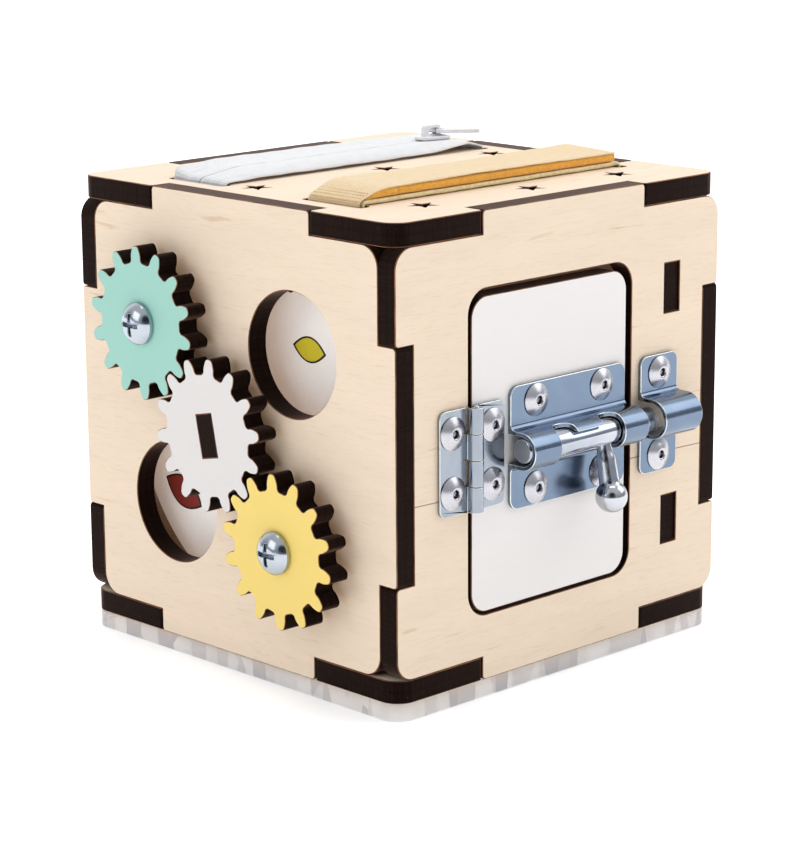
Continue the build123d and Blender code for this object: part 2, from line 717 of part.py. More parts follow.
def zipper_slider():
    """Two plates joined by a post between the tapes, with an arched crown on top."""
    plate = extrude(slider_outline(), SLIDER_PLATE_T)
    top_z = ZIP_T / 2 + SLIDER_TAPE_GAP
    low_z = -ZIP_T / 2 - COIL_T - SLIDER_TAPE_GAP - SLIDER_PLATE_T
    slider = Pos(0, 0, top_z) * plate + Pos(0, 0, low_z) * plate
    post_x = SLIDER_L / 2 - POST_L
    slider += box_between(post_x - POST_L / 2, post_x + POST_L / 2, -ZIP_SLIT / 2 + POST_PLAY,
                          ZIP_SLIT / 2 - POST_PLAY, low_z, top_z + SLIDER_PLATE_T / 2)
    arch = Pos(0, CROWN_H / 2) * RectangleRounded(CROWN_L, CROWN_H, CROWN_R)
    arch += Pos(0, CROWN_R / 2) * Rectangle(CROWN_L, CROWN_R)
    hole = RectangleRounded(CROWN_HOLE_L, CROWN_HOLE_H, CROWN_HOLE_R)
    arch -= Pos(0, CROWN_HOLE_Z + CROWN_HOLE_H / 2) * hole
    crown = extrude(Plane.XZ * arch, CROWN_W / 2, both=True)
    slider += Pos(0, 0, top_z + SLIDER_PLATE_T) * crown
    return Pos(SLIDER_X, STRAP_Y, TOP_Z + ZIP_LIFT) * slider


def zipper_pull():
    """Flat tab with an eye whose round end bar runs through the crown."""
    bar = PULL_T / 2
    outline = Pos(PULL_L / 2 - bar, 0) * RectangleRounded(PULL_L, PULL_W, PULL_R)
    outline -= Pos(bar + PULL_EYE_L / 2, 0) * RectangleRounded(PULL_EYE_L, PULL_EYE_W, PULL_EYE_R)
    outline -= Pos(PULL_L - PULL_W / 2, 0) * Circle(PULL_HOLE_D / 2)
    tab = Pos(0, 0, -PULL_T / 2) * extrude(outline, PULL_T)
    tab -= box_between(-bar, bar + PULL_EYE_R, -PULL_EYE_W / 2, PULL_EYE_W / 2, -bar, bar)
    tab += Rot(90, 0, 0) * Cylinder(PULL_BAR_D / 2, PULL_EYE_W + 2 * PULL_BAR_SEAT)
    place = Pos(SLIDER_X + PULL_SHIFT, STRAP_Y, TOP_Z + ZIP_LIFT + crown_axis_z())
    return place * Rot(0, PULL_DROOP, 0) * tab


def strap_sides():
    return -STRAP_Y - STRAP_W / 2, -STRAP_Y + STRAP_W / 2


def strap_lower():
    """Loop tape, held down at both slots."""
    under = -PLY - STRAP_T / 2
    left = SLOT_LEFT + STRAP_SIDE
    points = [
        (left + TAIL_L, under),
        (left, under),
        (left, LOWER_LIFT),
        (SLOT_RIGHT, LOWER_LIFT),
        (SLOT_RIGHT, under),
        (SLOT_RIGHT + TAIL_SHORT, under),
    ]
    return band(points, [TAIL_R, TAIL_R, TAIL_R, TAIL_R], STRAP_T, *strap_sides())


def strap_upper_root():
    """Fixed end of the upper strap, from its tail up to where it is pulled open."""
    under = -PLY - STRAP_T - RIBBON_T / 2 - FIT
    left = SLOT_LEFT - STRAP_SIDE
    points = [
        (left + TAIL_L, under),
        (left, under),
        (left, UPPER_EXIT_Z),
        (UPPER_HINGE_X - UPPER_CREST, UPPER_LIFT),
        (UPPER_HINGE_X - UPPER_SPLIT / 2, UPPER_LIFT),
    ]
    return band(points, [TAIL_R, UPPER_EXIT_R, UPPER_RISE_R], RIBBON_T, *strap_sides())


def strap_upper_flap():
    low = TOP_Z + UPPER_LIFT - RIBBON_T / 2
    start = UPPER_HINGE_X + UPPER_SPLIT / 2
    return box_between(start, UPPER_END_X, *strap_sides(), low, low + RIBBON_T)


def strap_upper_pile():
    high = TOP_Z + UPPER_LIFT - RIBBON_T / 2
    y0, y1 = strap_sides()
    return box_between(PILE_FROM, UPPER_END_X - PILE_MARGIN, y0 + PILE_MARGIN, y1 - PILE_MARGIN,
                       high - PILE_T, high)


nodes = {
    "base_plate": base_plate(),
    "bottom_panel": extrude(bottom_face * cap_outline(), PLY),
    "top_panel": top_panel(),
    "gear_panel": gear_panel(),
    "right_panel": extrude(right_face * middle_finger_outline(), -PLY),
    "door_panel": door_panel(),
    "back_panel": back_panel(),
    "inner_wall": inner_wall(),
    "door": door(),
    "hinge_leaf_panel": hinge_leaf(-1, 1, "hinge panel"),
    "hinge_leaf_door": hinge_leaf(1, 0, "hinge door"),
    "hinge_pin": hinge_pin(),
    "hinge_rivets_panel": rivets("hinge panel", HINGE_LEAF_T),
    "hinge_rivets_door": rivets("hinge door", HINGE_LEAF_T),
    "bolt_housing": bolt_housing(),
    "bolt_rivets": rivets("bolt", SHEET),
    "bolt_rod": bolt_rod(),
    "bolt_knob": bolt_knob(),
    "bolt_keeper": bolt_keeper(),
    "keeper_rivets": rivets("keeper", SHEET),
    "mint_gear": outer_gear(1),
    "white_gear": white_gear(),
    "yellow_gear": outer_gear(-1),
    "gear_key": gear_key(),
    "picture_disc": picture_disc(),
    "gear_spacers": gear_spacers(),
    "gear_screws": on_screws(gear_screw(), GEAR_GAP + GEAR_T + GEAR_END_PLAY),
    "gear_washers": on_screws(gear_washer(), -PLY - WASHER_T),
    "gear_nuts": on_screws(gear_nut(), -PLY - WASHER_T - NUT_T),
    "zipper_tape_front": zipper_tape(-1),
    "zipper_tape_back": zipper_tape(1),
    "zipper_coil_front": zipper_coil(-1),
    "zipper_coil_back": zipper_coil(1),
    "zipper_slider": zipper_slider(),
    "zipper_pull": zipper_pull(),
    "strap_lower": strap_lower(),
    "strap_upper_root": strap_upper_root(),
    "strap_upper_flap": strap_upper_flap(),
    "strap_upper_pile": strap_upper_pile(),
}

os.makedirs("parts", exist_ok=True)
for name, part in nodes.items():
    solid = Compound(children=part) if isinstance(part, list) else part
    export_step(solid, f"parts/{name}.step")
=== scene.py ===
"""Looks of a plywood activity cube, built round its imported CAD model.

Every piece is worked out in metres in the CAD frame: the door faces -Y, the gears face -X, +Z is up.
"""

import json
from functools import partial, wraps
from math import pi, radians

import bmesh
import bpy
import numpy as np
from bpy.props import FloatProperty, FloatVectorProperty, IntProperty, PointerProperty
from mathutils import Matrix, Vector


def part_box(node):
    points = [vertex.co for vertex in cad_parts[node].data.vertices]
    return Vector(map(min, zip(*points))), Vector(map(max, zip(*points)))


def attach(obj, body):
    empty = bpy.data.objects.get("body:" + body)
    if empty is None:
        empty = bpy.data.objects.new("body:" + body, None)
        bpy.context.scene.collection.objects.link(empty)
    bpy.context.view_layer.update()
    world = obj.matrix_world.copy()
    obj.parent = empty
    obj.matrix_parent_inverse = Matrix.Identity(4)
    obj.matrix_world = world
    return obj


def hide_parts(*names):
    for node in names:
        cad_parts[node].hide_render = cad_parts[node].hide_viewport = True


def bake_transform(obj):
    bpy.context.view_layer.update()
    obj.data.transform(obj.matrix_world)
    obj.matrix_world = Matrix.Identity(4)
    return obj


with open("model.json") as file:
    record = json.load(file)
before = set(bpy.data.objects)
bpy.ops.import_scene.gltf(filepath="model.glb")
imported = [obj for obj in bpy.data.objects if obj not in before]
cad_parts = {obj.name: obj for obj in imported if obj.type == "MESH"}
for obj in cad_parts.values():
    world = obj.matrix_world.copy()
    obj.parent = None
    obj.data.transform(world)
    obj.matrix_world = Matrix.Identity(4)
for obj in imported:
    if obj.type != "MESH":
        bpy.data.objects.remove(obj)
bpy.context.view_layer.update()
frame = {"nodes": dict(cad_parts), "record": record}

bl_info = {
    "name": "Activity cube",
    "version": (1, 0, 0),
    "blender": (4, 5, 0),
    "location": "View3D > Sidebar > Cube",
    "description": "Dresses the CAD model of a plywood activity cube",
    "category": "Object",
}

MM = 0.001
TOP_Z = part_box("top_panel")[1].z
ZIP_Y = (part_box("zipper_tape_front")[1].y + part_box("zipper_tape_back")[0].y) / 2
BODY_OF = {node: body for body, nodes in frame["record"]["behaviour"]["bodies"].items() for node in nodes}

# Tapes and straps go through slots in the top panel and end in tails under it.
LEFT_TAIL = 10 * MM
RIGHT_TAIL = 4.5 * MM
SLOT_BEND = 0.9 * MM
TAPE_STEP = 0.7 * MM


def linear(code):
    """Linear RGB of an sRGB hex colour: each channel goes through the sRGB curve."""
    channels = np.array([int(code[i:i + 2], 16) for i in (1, 3, 5)]) / 255
    curve = np.where(channels <= 0.04045, channels / 12.92, ((channels + 0.055) / 1.055) ** 2.4)
    return tuple(float(c) for c in curve)


def length_property(name, description, default, low, high):
    """Length whose default and limits are given in millimetres."""
    return FloatProperty(
        name=name, description=description, default=default * MM, min=low * MM, max=high * MM,
        subtype="DISTANCE", unit="LENGTH")


def colour_property(name, description, code):
    """Colour whose default is given as an sRGB hex value."""
    return FloatVectorProperty(
        name=name, description=description, default=linear(code), size=3, min=0, max=1, subtype="COLOR")


class CubeSizes(bpy.types.PropertyGroup):
    """Sizes that the pieces are worked out from."""
    rim: length_property("Scorched rim", "Width of the scorched line along a laser-cut edge", 0.25, 0.05, 1)
    sheet_edge: length_property("Sheet edge", "Rounding of the edges of pressed sheet", 0.2, 0.05, 0.5)
    acrylic_edge: length_property("Acrylic edge", "Polished bevel round the clear base", 0.35, 0.05, 2)
    rivet_hole: length_property("Rivet hole", "Bore left by a blind rivet's mandrel", 2.3, 1, 4)
    rivet_height: length_property("Rivet head height", "Height of a rivet's head", 1.6, 0.5, 3)
    stitch_pitch: length_property("Stitch pitch", "Distance between stitches of the strap", 0.95, 0.5, 5)
    stitch_rows: IntProperty(
        name="Stitch rows", description="Rows of stitches at the strap's sewn end", default=4, min=1, max=6)
    pile_fibre: length_property("Pile fibre", "Length of the fibres along the golden pile", 1.1, 0.2, 3)
    motif: length_property("Motif size", "About half the width of a motif on the disc", 7.5, 3, 12)


class CubeColours(bpy.types.PropertyGroup):
    """Colours of the finishes."""
    birch: colour_property("Birch", "Sanded birch veneer", "#EAD6BF")
    char: colour_property("Char", "Laser-cut plywood edge", "#190D0A")
    scorch: colour_property("Scorch", "Browned line between a face and a cut edge", "#7C4F30")
    mint: colour_property("Mint", "Lacquer of the upper gear", "#99CBBE")
    white: colour_property("White", "Lacquer of the middle gear and the door", "#E8E4E2")
    yellow: colour_property("Yellow", "Lacquer of the lower gear", "#EFD271")
    zinc: colour_property("Zinc", "Bluish zinc plating of the bolt's plates", "#6A788F")
    bright: colour_property("Bright metal", "Steel of the bolt's rod and knob and the hinge pin", "#C9CBD2")
    tape: colour_property("Tape", "Woven zipper tape", "#F0F1F4")
    ribbon: colour_property("Ribbon", "Back of the hook-and-loop strap", "#F4D6A9")
    pile: colour_property("Pile", "Looped side of the strap", "#FFB23A")
    ink_yellow: colour_property("Yellow ink", "Yellow motifs on the disc", "#E8D52E")
    ink_red: colour_property("Red-brown ink", "Red-brown motifs on the disc", "#8E2A22")
    floor: colour_property("Floor", "Pale floor", "#FAFAFA")


# Nodes and materials

def add(tree, kind, sockets=None, **settings):
    """Add a ShaderNode of a kind with its settings, and fill or join its sockets, given by name or index.

    Mix nodes mix colours. A node given for a socket stands for its first output, or for its mixed colour.
    """
    made = tree.nodes.new("ShaderNode" + kind)
    if kind == "Mix":
        made.data_type = "RGBA"
    for key, value in settings.items():
        setattr(made, key, value)
    for key, value in (sockets or {}).items():
        if isinstance(value, bpy.types.Node):
            value = value.outputs[2 if value.bl_idname == "ShaderNodeMix" else 0]
        if isinstance(value, bpy.types.NodeSocket):
            tree.links.new(value, made.inputs[key])
        else:
            made.inputs[key].default_value = value
    return made


def named_material(fill):
    """Turn a function that adds a shader into one that gives the material of a name, made only once."""
    @wraps(fill)
    def made_once(name, *settings):
        if name in bpy.data.materials:
            return bpy.data.materials[name]
        made = bpy.data.materials.new(name)
        made.use_nodes = True
        made.node_tree.nodes.clear()
        node = partial(add, made.node_tree)
        node("OutputMaterial", {"Surface": fill(node, *settings)})
        return made
    return made_once


def per_mm(axis, along, across):
    """Scale of a pattern whose features are so many millimetres long on one axis and wide on the others."""
    return tuple(1 / MM / (along if letter == axis else across) for letter in "xyz")


def rgba(colour, share=1.0):
    """Opaque colour of a hex value or a linear colour, taken to a share of its strength."""
    parts = linear(colour) if isinstance(colour, str) else colour
    return (*(min(1, part * share) for part in parts), 1.0)


@named_material
def birch_veneer(node, colour, grain, seam=None):
    """Birch plywood face."""
    # Rotary-cut birch veneer, sanded and left bare: pale, close grain with short fine flecks along
    # it, slow changes of tone, a few brown streaks, and a satin surface without gloss.
    place = node("TexCoord").outputs["Object"]
    figure = node("Mapping", {"Vector": place, "Scale": per_mm(grain, 60, 9)})
    tone = node("TexNoise", {"Vector": figure, "Scale": 1, "Detail": 4, "Distortion": 0.8})
    fine = node("Mapping", {"Vector": place, "Scale": per_mm(grain, 5, 0.4)})
    fleck = node("TexNoise", {"Vector": fine, "Scale": 1, "Detail": 2})
    long = node("Mapping", {"Vector": place, "Scale": per_mm(grain, 24, 2.4)})
    streak = node("TexNoise", {"Vector": long, "Scale": 1, "Detail": 3, "Distortion": 0.5})
    toned = node("Mix", {0: tone, 6: rgba(colour, 0.93), 7: rgba(colour, 1.09)})
    flecks = node("MapRange", {"Value": fleck, "From Min": 0.52, "From Max": 0.78, "To Max": 0.2})
    flecked = node("Mix", {0: flecks, 6: toned, 7: rgba("#C79F72")})
    streaks = node("MapRange", {"Value": streak, "From Min": 0.66, "From Max": 0.82, "To Max": 0.55})
    face = node("Mix", {0: streaks, 6: flecked, 7: rgba("#B98451")})
    if seam:
        # Two sheets of veneer meet in a fine dark line that runs a little out of level.
        height, slope = seam
        axes = node("SeparateXYZ", {0: place})
        drift = node("Math", {0: axes.outputs[0], 1: slope, 2: height}, operation="MULTIPLY_ADD")
        off = node("Math", {0: axes.outputs[2], 1: drift}, operation="SUBTRACT")
        wander = node("Math", {0: tone, 1: 0.5 * MM, 2: off}, operation="MULTIPLY_ADD")
        away = node("Math", {0: wander, 1: 0.25 * MM}, operation="SUBTRACT")
        near = node("Math", {0: away}, operation="ABSOLUTE")
        line = node("MapRange", {
            "Value": near, "From Min": 0.08 * MM, "From Max": 0.22 * MM, "To Min": 0.8, "To Max": 0})
        face = node("Mix", {0: line, 6: face, 7: rgba("#7A4A2C")})
    bump = node("Bump", {"Height": fleck, "Strength": 0.12, "Distance": 0.05 * MM})
    return node("BsdfPrincipled", {"Base Color": face, "Roughness": 0.62, "IOR": 1.45, "Normal": bump})


@named_material
def charred_edge(node, colour, through):
    """Laser-cut edge of plywood."""
    # Charred by the beam to a brown near black: fine streaks run through the thickness, the plies
    # show as faint bands, and loose char gives a weak brown sheen.
    place = node("TexCoord").outputs["Object"]
    depth = node("Attribute", attribute_name="ply_depth").outputs["Fac"]
    beam = node("Mapping", {"Vector": place, "Scale": per_mm(through, 9, 0.5)})
    streak = node("TexNoise", {"Vector": beam, "Scale": 1, "Detail": 3})
    dust = node("TexNoise", {"Vector": place, "Scale": 1 / (0.5 * MM), "Detail": 1})
    plies = node("Math", {0: depth, 1: 5 * pi}, operation="MULTIPLY")
    wave = node("Math", {0: plies}, operation="SINE")
    band = node("MapRange", {"Value": wave, "From Min": 0.35, "To Max": 0.5})
    burnt = node("MapRange", {"Value": streak, "From Min": 0.4, "From Max": 0.75, "To Max": 0.8})
    brown = node("Mix", {0: burnt, 6: rgba(colour, 0.75), 7: rgba("#241610")})
    banded = node("Mix", {0: band, 6: brown, 7: rgba(colour, 0.45)})
    specks = node("MapRange", {"Value": dust, "From Min": 0.74, "From Max": 0.82, "To Max": 0.35})
    dusty = node("Mix", {0: specks, 6: banded, 7: rgba("#8A7A70")})
    bump = node("Bump", {"Height": streak, "Strength": 0.3, "Distance": 0.15 * MM})
    return node("BsdfPrincipled", {
        "Base Color": dusty, "Roughness": 0.5, "IOR": 1.3, "Specular IOR Level": 0.06, "Sheen Weight": 0.45,
        "Sheen Roughness": 0.35, "Sheen Tint": rgba("#D0A997"), "Normal": bump})


@named_material
def scorched_rim(node, colour):
    """Browned line along a laser cut."""
    # Heat browns the veneer in a line a few tenths of a millimetre wide, darker and lighter by turns.
    place = node("TexCoord").outputs["Object"]
    patch = node("TexNoise", {"Vector": place, "Scale": 1 / (6 * MM), "Detail": 2})
    share = node("MapRange", {"Value": patch, "From Min": 0.35, "From Max": 0.65})
    tone = node("Mix", {0: share, 6: rgba(colour, 0.5), 7: rgba(colour, 1.5)})
    return node("BsdfPrincipled", {"Base Color": tone, "Roughness": 0.6, "IOR": 1.45})


@named_material
def lacquer(node, colour, grain):
    """Coloured lacquer on plywood."""
    # A thin satin coat rolled on birch: even colour, a trace of the grain under it, fine orange peel.
    place = node("TexCoord").outputs["Object"]
    fine = node("Mapping", {"Vector": place, "Scale": per_mm(grain, 12, 0.9)})
    trace = node("TexNoise", {"Vector": fine, "Scale": 1, "Detail": 3})
    peel = node("TexNoise", {"Vector": place, "Scale": 1 / (0.9 * MM), "Detail": 1})
    tone = node("Mix", {0: trace, 6: rgba(colour, 0.98), 7: rgba(colour, 1.02)})
    both = node("Math", {0: trace, 1: peel}, operation="ADD")
    bump = node("Bump", {"Height": both, "Strength": 0.06, "Distance": 0.05 * MM})
    return node("BsdfPrincipled", {"Base Color": tone, "Roughness": 0.48, "IOR": 1.48, "Normal": bump})


@named_material
def metal(node, colour, second, rough, rougher, brushed):
    """Plated or polished metal."""
    # A bright metal skin: its tone drifts between two shades, its gloss comes and goes with handling,
    # and fine lines lie along the axis it was rolled, drawn or turned on.
    place = node("TexCoord").outputs["Object"]
    patch = node("TexNoise", {"Vector": place, "Scale": 1 / (9 * MM), "Detail": 2, "Distortion": 0.6})
    lines = node("Mapping", {"Vector": place, "Scale": per_mm(brushed, 14, 0.35)})
    line = node("TexNoise", {"Vector": lines, "Scale": 1, "Detail": 2})
    tone = node("Mix", {0: patch, 6: rgba(colour), 7: rgba(second)})
    gloss = node("MapRange", {
        "Value": line, "From Min": 0.3, "From Max": 0.7, "To Min": rough, "To Max": rougher})
    bump = node("Bump", {"Height": line, "Strength": 0.02, "Distance": 0.03 * MM})
    return node("BsdfPrincipled", {"Base Color": tone, "Metallic": 1.0, "Roughness": gloss, "Normal": bump})


@named_material
def clear_acrylic(node):
    """Clear cast acrylic."""
    # Cast sheet with laser-polished edges: clear as glass, IOR 1.49, with faint ripples left by the beam.
    # Painted reflections stand in for what a room would show in it: lighter and greyer blocks about half a
    # centimetre long, and in its upper half a tint that is a painted reflection of the wood above.
    place = node("TexCoord").outputs["Object"]
    beam = node("Mapping", {"Vector": place, "Scale": per_mm("z", 20, 1.2)})
    ripple = node("TexNoise", {"Vector": beam, "Scale": 1, "Detail": 1})
    bump = node("Bump", {"Height": ripple, "Strength": 0.15, "Distance": 0.1 * MM})
    cells = node("Mapping", {"Vector": place, "Scale": per_mm("z", 24, 5)})
    painted_reflection_cells = node("TexVoronoi", {"Vector": cells, "Scale": 1, "Randomness": 0.75})
    tint = node("SeparateColor", {0: painted_reflection_cells.outputs["Color"]})
    tone = node("Mix", {0: tint, 6: rgba("#A09BA2"), 7: rgba("#FFFFFF")})
    axes = node("SeparateXYZ", {0: place})
    # Painted reflection of the wood above: a beige tint rising through the upper half of the sheet.
    upper = node("MapRange", {
        "Value": axes.outputs[2], "From Min": 2.5 * MM, "From Max": 4.6 * MM, "To Max": 0.6})
    painted_wood_reflection = node("Mix", {0: upper, 6: tone, 7: rgba("#BBA68C")})
    return node("BsdfPrincipled", {
        "Base Color": painted_wood_reflection, "Roughness": 0.03, "IOR": 1.49, "Transmission Weight": 1.0, "Normal": bump})


@named_material
def woven(node, colour, thread, ribs, sheen):
    """Narrow woven tape."""
    # Polyester yarn woven on a narrow loom: ribs across the tape cross finer lengthwise yarns, dull
    # with a soft sheen, thin enough to let some light through. Real yarns are 0.2 to 0.3 mm wide; they
    # are drawn coarser so that they show. The weave attribute counts millimetres along and across.
    cloth = node("Attribute", attribute_name="weave").outputs["Vector"]
    axes = node("SeparateXYZ", {0: cloth})
    along = node("Math", {0: axes.outputs[0], 1: 2 * pi / ribs}, operation="MULTIPLY")
    across = node("Math", {0: axes.outputs[1], 1: 2 * pi / thread}, operation="MULTIPLY")
    weft = node("Math", {0: along}, operation="SINE")
    warp = node("Math", {0: across}, operation="SINE")
    cross = node("Math", {0: weft, 1: warp}, operation="MULTIPLY")
    height = node("Math", {0: weft, 1: cross}, operation="ADD")
    slub = node("TexNoise", {"Vector": cloth, "Scale": 0.35, "Detail": 3})
    lift = node("MapRange", {"Value": height, "From Min": -2, "From Max": 2})
    # The tone follows the weave's height: painted shade darkens its grooves, and the slub noise makes the
    # yarn uneven.
    mixed = node("Math", {0: lift, 1: slub}, operation="MULTIPLY")
    tone = node("Mix", {0: mixed, 6: rgba(colour, 0.78), 7: rgba(colour, 1.1)})
    bump = node("Bump", {"Height": lift, "Strength": 0.8, "Distance": 0.16 * MM})
    return node("BsdfPrincipled", {
        "Base Color": tone, "Roughness": 0.85, "IOR": 1.5, "Sheen Weight": sheen, "Sheen Roughness": 0.4,
        "Subsurface Weight": 0.5, "Subsurface Scale": 1.2 * MM, "Subsurface Radius": (1.0, 1.0, 1.0),
        "Normal": bump})


@named_material
def looped_pile(node, colour):
    """Pile of the hook-and-loop strap."""
    # Brushed nylon loops in a deep, soft colour. Its tone follows the tufts of the bump: painted shade
    # darkens the hollows between them and a painted highlight brightens their fuzzy tops.
    place = node("TexCoord").outputs["Object"]
    tuft = node("TexNoise", {"Vector": place, "Scale": 1 / (1.1 * MM), "Detail": 4, "Roughness": 0.7})
    # Painted shade in the hollows and painted highlight on the tufts, from the bump's own noise.
    share = node("MapRange", {"Value": tuft, "From Min": 0.35, "From Max": 0.68})
    tone = node("Mix", {0: share, 6: rgba(colour, 0.85), 7: rgba(colour, 1.2)})
    bump = node("Bump", {"Height": tuft, "Strength": 0.6, "Distance": 0.4 * MM})
    return node("BsdfPrincipled", {
        "Base Color": tone, "Roughness": 0.9, "IOR": 1.5, "Sheen Weight": 0.4, "Sheen Roughness": 0.5,
        "Normal": bump})


@named_material
def enamel(node, colour, rough):
    """Baked enamel, or the smooth skin of nylon and sewing thread."""
    # A smooth skin with soft waves in it, faintly greyer where fingers have rubbed.
    place = node("TexCoord").outputs["Object"]
    rub = node("TexNoise", {"Vector": place, "Scale": 1 / (3 * MM), "Detail": 3})
    tone = node("Mix", {0: rub, 6: rgba(colour, 0.86), 7: rgba(colour)})
    bump = node("Bump", {"Height": rub, "Strength": 0.05, "Distance": 0.1 * MM})
    return node("BsdfPrincipled", {"Base Color": tone, "Roughness": rough, "IOR": 1.5, "Normal": bump})


@named_material
def ink(node, colour, glow=0.0):
    """Printed ink on the disc, or the disc's bare board."""
    # Flat ink laid on white board: matt, with the slight mottle of a print. The bare board has a little
    # light of its own, which makes up for the dim recess behind the windows.
    place = node("TexCoord").outputs["Object"]
    mottle = node("TexNoise", {"Vector": place, "Scale": 1 / (1.5 * MM), "Detail": 3})
    tone = node("Mix", {0: mottle, 6: rgba(colour, 0.85), 7: rgba(colour)})
    return node("BsdfPrincipled", {
        "Base Color": tone, "Roughness": 0.55, "IOR": 1.45, "Emission Color": rgba("#FFEADD"),
        "Emission Strength": glow})


@named_material
def white_board(node, colour):
    """Floor board."""
    # Matt white board with a faint mottle, sixty to the metre; light of its own, more of it far out, keeps
    # it white and hides its edge.
    place = node("TexCoord").outputs["Object"]
    tooth = node("TexNoise", {"Vector": place, "Scale": 60, "Detail": 2})
    tone = node("Mix", {0: tooth, 6: rgba(colour, 0.99), 7: rgba(colour)})
    away = node("VectorMath", {0: place}, operation="LENGTH").outputs["Value"]
    glow = node("MapRange", {"Value": away, "From Min": 0.3, "From Max": 2, "To Min": 0.4, "To Max": 0.9})
    return node("BsdfPrincipled", {
        "Base Color": tone, "Roughness": 0.9, "Emission Color": (1, 1, 1, 1), "Emission Strength": glow})


# Meshes

def grid_faces(rows, columns):
    """Quads between neighbours of a grid of points whose columns close round."""
    r, c = np.meshgrid(np.arange(rows - 1), np.arange(columns), indexing="ij")
    n = (c + 1) % columns
    quads = np.stack([r * columns + c, (r + 1) * columns + c, (r + 1) * columns + n, r * columns + n], -1)
    return quads.reshape(-1, 4)


def repeated(faces, copies, size):
    """Faces of so many copies, one after another, of a shape with so many points."""
    return (faces[None] + np.arange(copies)[:, None, None] * size).reshape(-1, 4)


def show(name, data):
    """Object of a mesh, lamp or camera, linked to the scene."""
    made = bpy.data.objects.new(name, data)
    bpy.context.scene.collection.objects.link(made)
    return made


def surface(name, points, faces, materials, closed=True, weave=None):
    """Mesh object of an array of points and faces, its doubles merged and its faces turned outwards."""
    mesh = bpy.data.meshes.new(name)
    mesh.from_pydata(points.reshape(-1, 3).tolist(), [], faces.tolist())
    if weave is not None:
        cloth = mesh.attributes.new("weave", "FLOAT_VECTOR", "POINT")
        cloth.data.foreach_set("vector", (weave / MM).astype(np.float32).ravel())
    work = bmesh.new()
    work.from_mesh(mesh)
    bmesh.ops.remove_doubles(work, verts=work.verts, dist=0.002 * MM)
    bmesh.ops.dissolve_degenerate(work, edges=work.edges, dist=0.001 * MM)
    if closed:
        bmesh.ops.recalc_face_normals(work, faces=work.faces)
    work.to_mesh(mesh)
    work.free()
    mesh.polygons.foreach_set("use_smooth", np.ones(len(mesh.polygons), bool))
    for material in materials:
        mesh.materials.append(material)
    return show(name, mesh)


def ride_along(made, body):
    """A piece that the CAD doesn't have rides on a body."""
    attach(made, body)


def stand_for(made, *nodes):
    """The piece takes the place of CAD nodes: it rides on their body, and they are hidden."""
    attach(made, BODY_OF[nodes[0]])
    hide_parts(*nodes)


def coordinates(mesh):
    """Points of a mesh, one row each."""
    points = np.empty(len(mesh.vertices) * 3)
    mesh.vertices.foreach_get("co", points)
    return points.reshape(-1, 3)


def face_normals(mesh):
    """Normals of a mesh's faces, one row each."""
    normals = np.empty(len(mesh.polygons) * 3)
    mesh.polygons.foreach_get("normal", normals)
    return normals.reshape(-1, 3)


def merged_copy(node):
    """Copy of a CAD node's mesh with its loose triangles joined and its flat faces made whole."""
    mesh = frame["nodes"][node].data.copy()
    work = bmesh.new()
    work.from_mesh(mesh)
    bmesh.ops.remove_doubles(work, verts=work.verts, dist=0.002 * MM)
    bmesh.ops.dissolve_limit(work, angle_limit=radians(0.4), verts=work.verts, edges=work.edges)
    work.to_mesh(mesh)
    work.free()
    mesh.materials.clear()
    mesh.polygons.foreach_set("use_smooth", np.ones(len(mesh.polygons), bool))
    mesh.set_sharp_from_angle(angle=radians(32))
    return mesh


def round_edges(made, width, segments, material=-1):
    """Bevel on the sharp edges, in the material of that index or, with -1, in that of the faces."""
    bevel = made.modifiers.new("edges", "BEVEL")
    bevel.width = width
    bevel.segments = segments
    bevel.limit_method = "ANGLE"
    bevel.angle_limit = radians(40)
    bevel.use_clamp_overlap = False
    bevel.loop_slide = False
    bevel.harden_normals = True
    bevel.material = material


def plywood(node, thin, outward, width, front=None, back=None, rim=None):
    """Plywood piece: front, back and cut edge are told apart by the normal, and each cut has a brown rim.

    Without a front, its faces are charred too. How far a point is through the thickness, from 0 to 1 along
    the axis, is kept on it for the plies.
    """
    colours, axis = bpy.context.scene.cube_colours, "xyz"[thin]
    edge = charred_edge("charred plywood edge " + axis, colours.char, axis)
    rim = rim or scorched_rim("scorched birch rim", colours.scorch)
    mesh = merged_copy(node)
    points = coordinates(mesh)[:, thin]
    share = (points - points.min()) / (points.max() - points.min())
    depth = mesh.attributes.new("ply_depth", "FLOAT", "POINT")
    depth.data.foreach_set("value", share.astype(np.float32))
    facing = face_normals(mesh)[:, thin] * outward
    index = np.where(facing > 0.9, 0, np.where(facing < -0.9, 1, 2))
    for material in (front or edge, back or front or edge, edge, rim):
        mesh.materials.append(material)
    mesh.polygons.foreach_set("material_index", index.astype(np.int32))
    made = show(node + "_ply", mesh)
    round_edges(made, width, 1, 3)
    stand_for(made, node)


def dressed(node, material, width, edge=None):
    """A CAD node's own shape with rounded edges, which have a finish of their own if one is given."""
    mesh = merged_copy(node)
    mesh.materials.append(material)
    if edge:
        mesh.materials.append(edge)
    made = show(node + "_dressed", mesh)
    round_edges(made, width, 2, 1 if edge else -1)
    stand_for(made, node)
    return made


def turned(name, profile, places, axis, turns, *materials):
    """Turned piece, repeated at every place, over the profile's (radius, height) points and an angle t.

    point = place + height * axis + radius * (cos t * side + sin t * other)
    """
    profile, axis = np.asarray(profile, float), np.asarray(axis, float)
    axis = axis / np.linalg.norm(axis)
    side = np.cross(axis, (1.0, 0, 0) if abs(axis[0]) < 0.9 else (0, 1.0, 0))
    side /= np.linalg.norm(side)
    angle = np.linspace(0, 2 * pi, turns, endpoint=False)[None, :, None]
    ring = np.cos(angle) * side + np.sin(angle) * np.cross(axis, side)
    shape = profile[:, :1, None] * ring + profile[:, 1:, None] * axis
    points = np.asarray(places, float)[:, None, None, :] + shape[None]
    faces = repeated(grid_faces(len(profile), turns), len(places), len(profile) * turns)
    return surface(name, points, faces, materials)


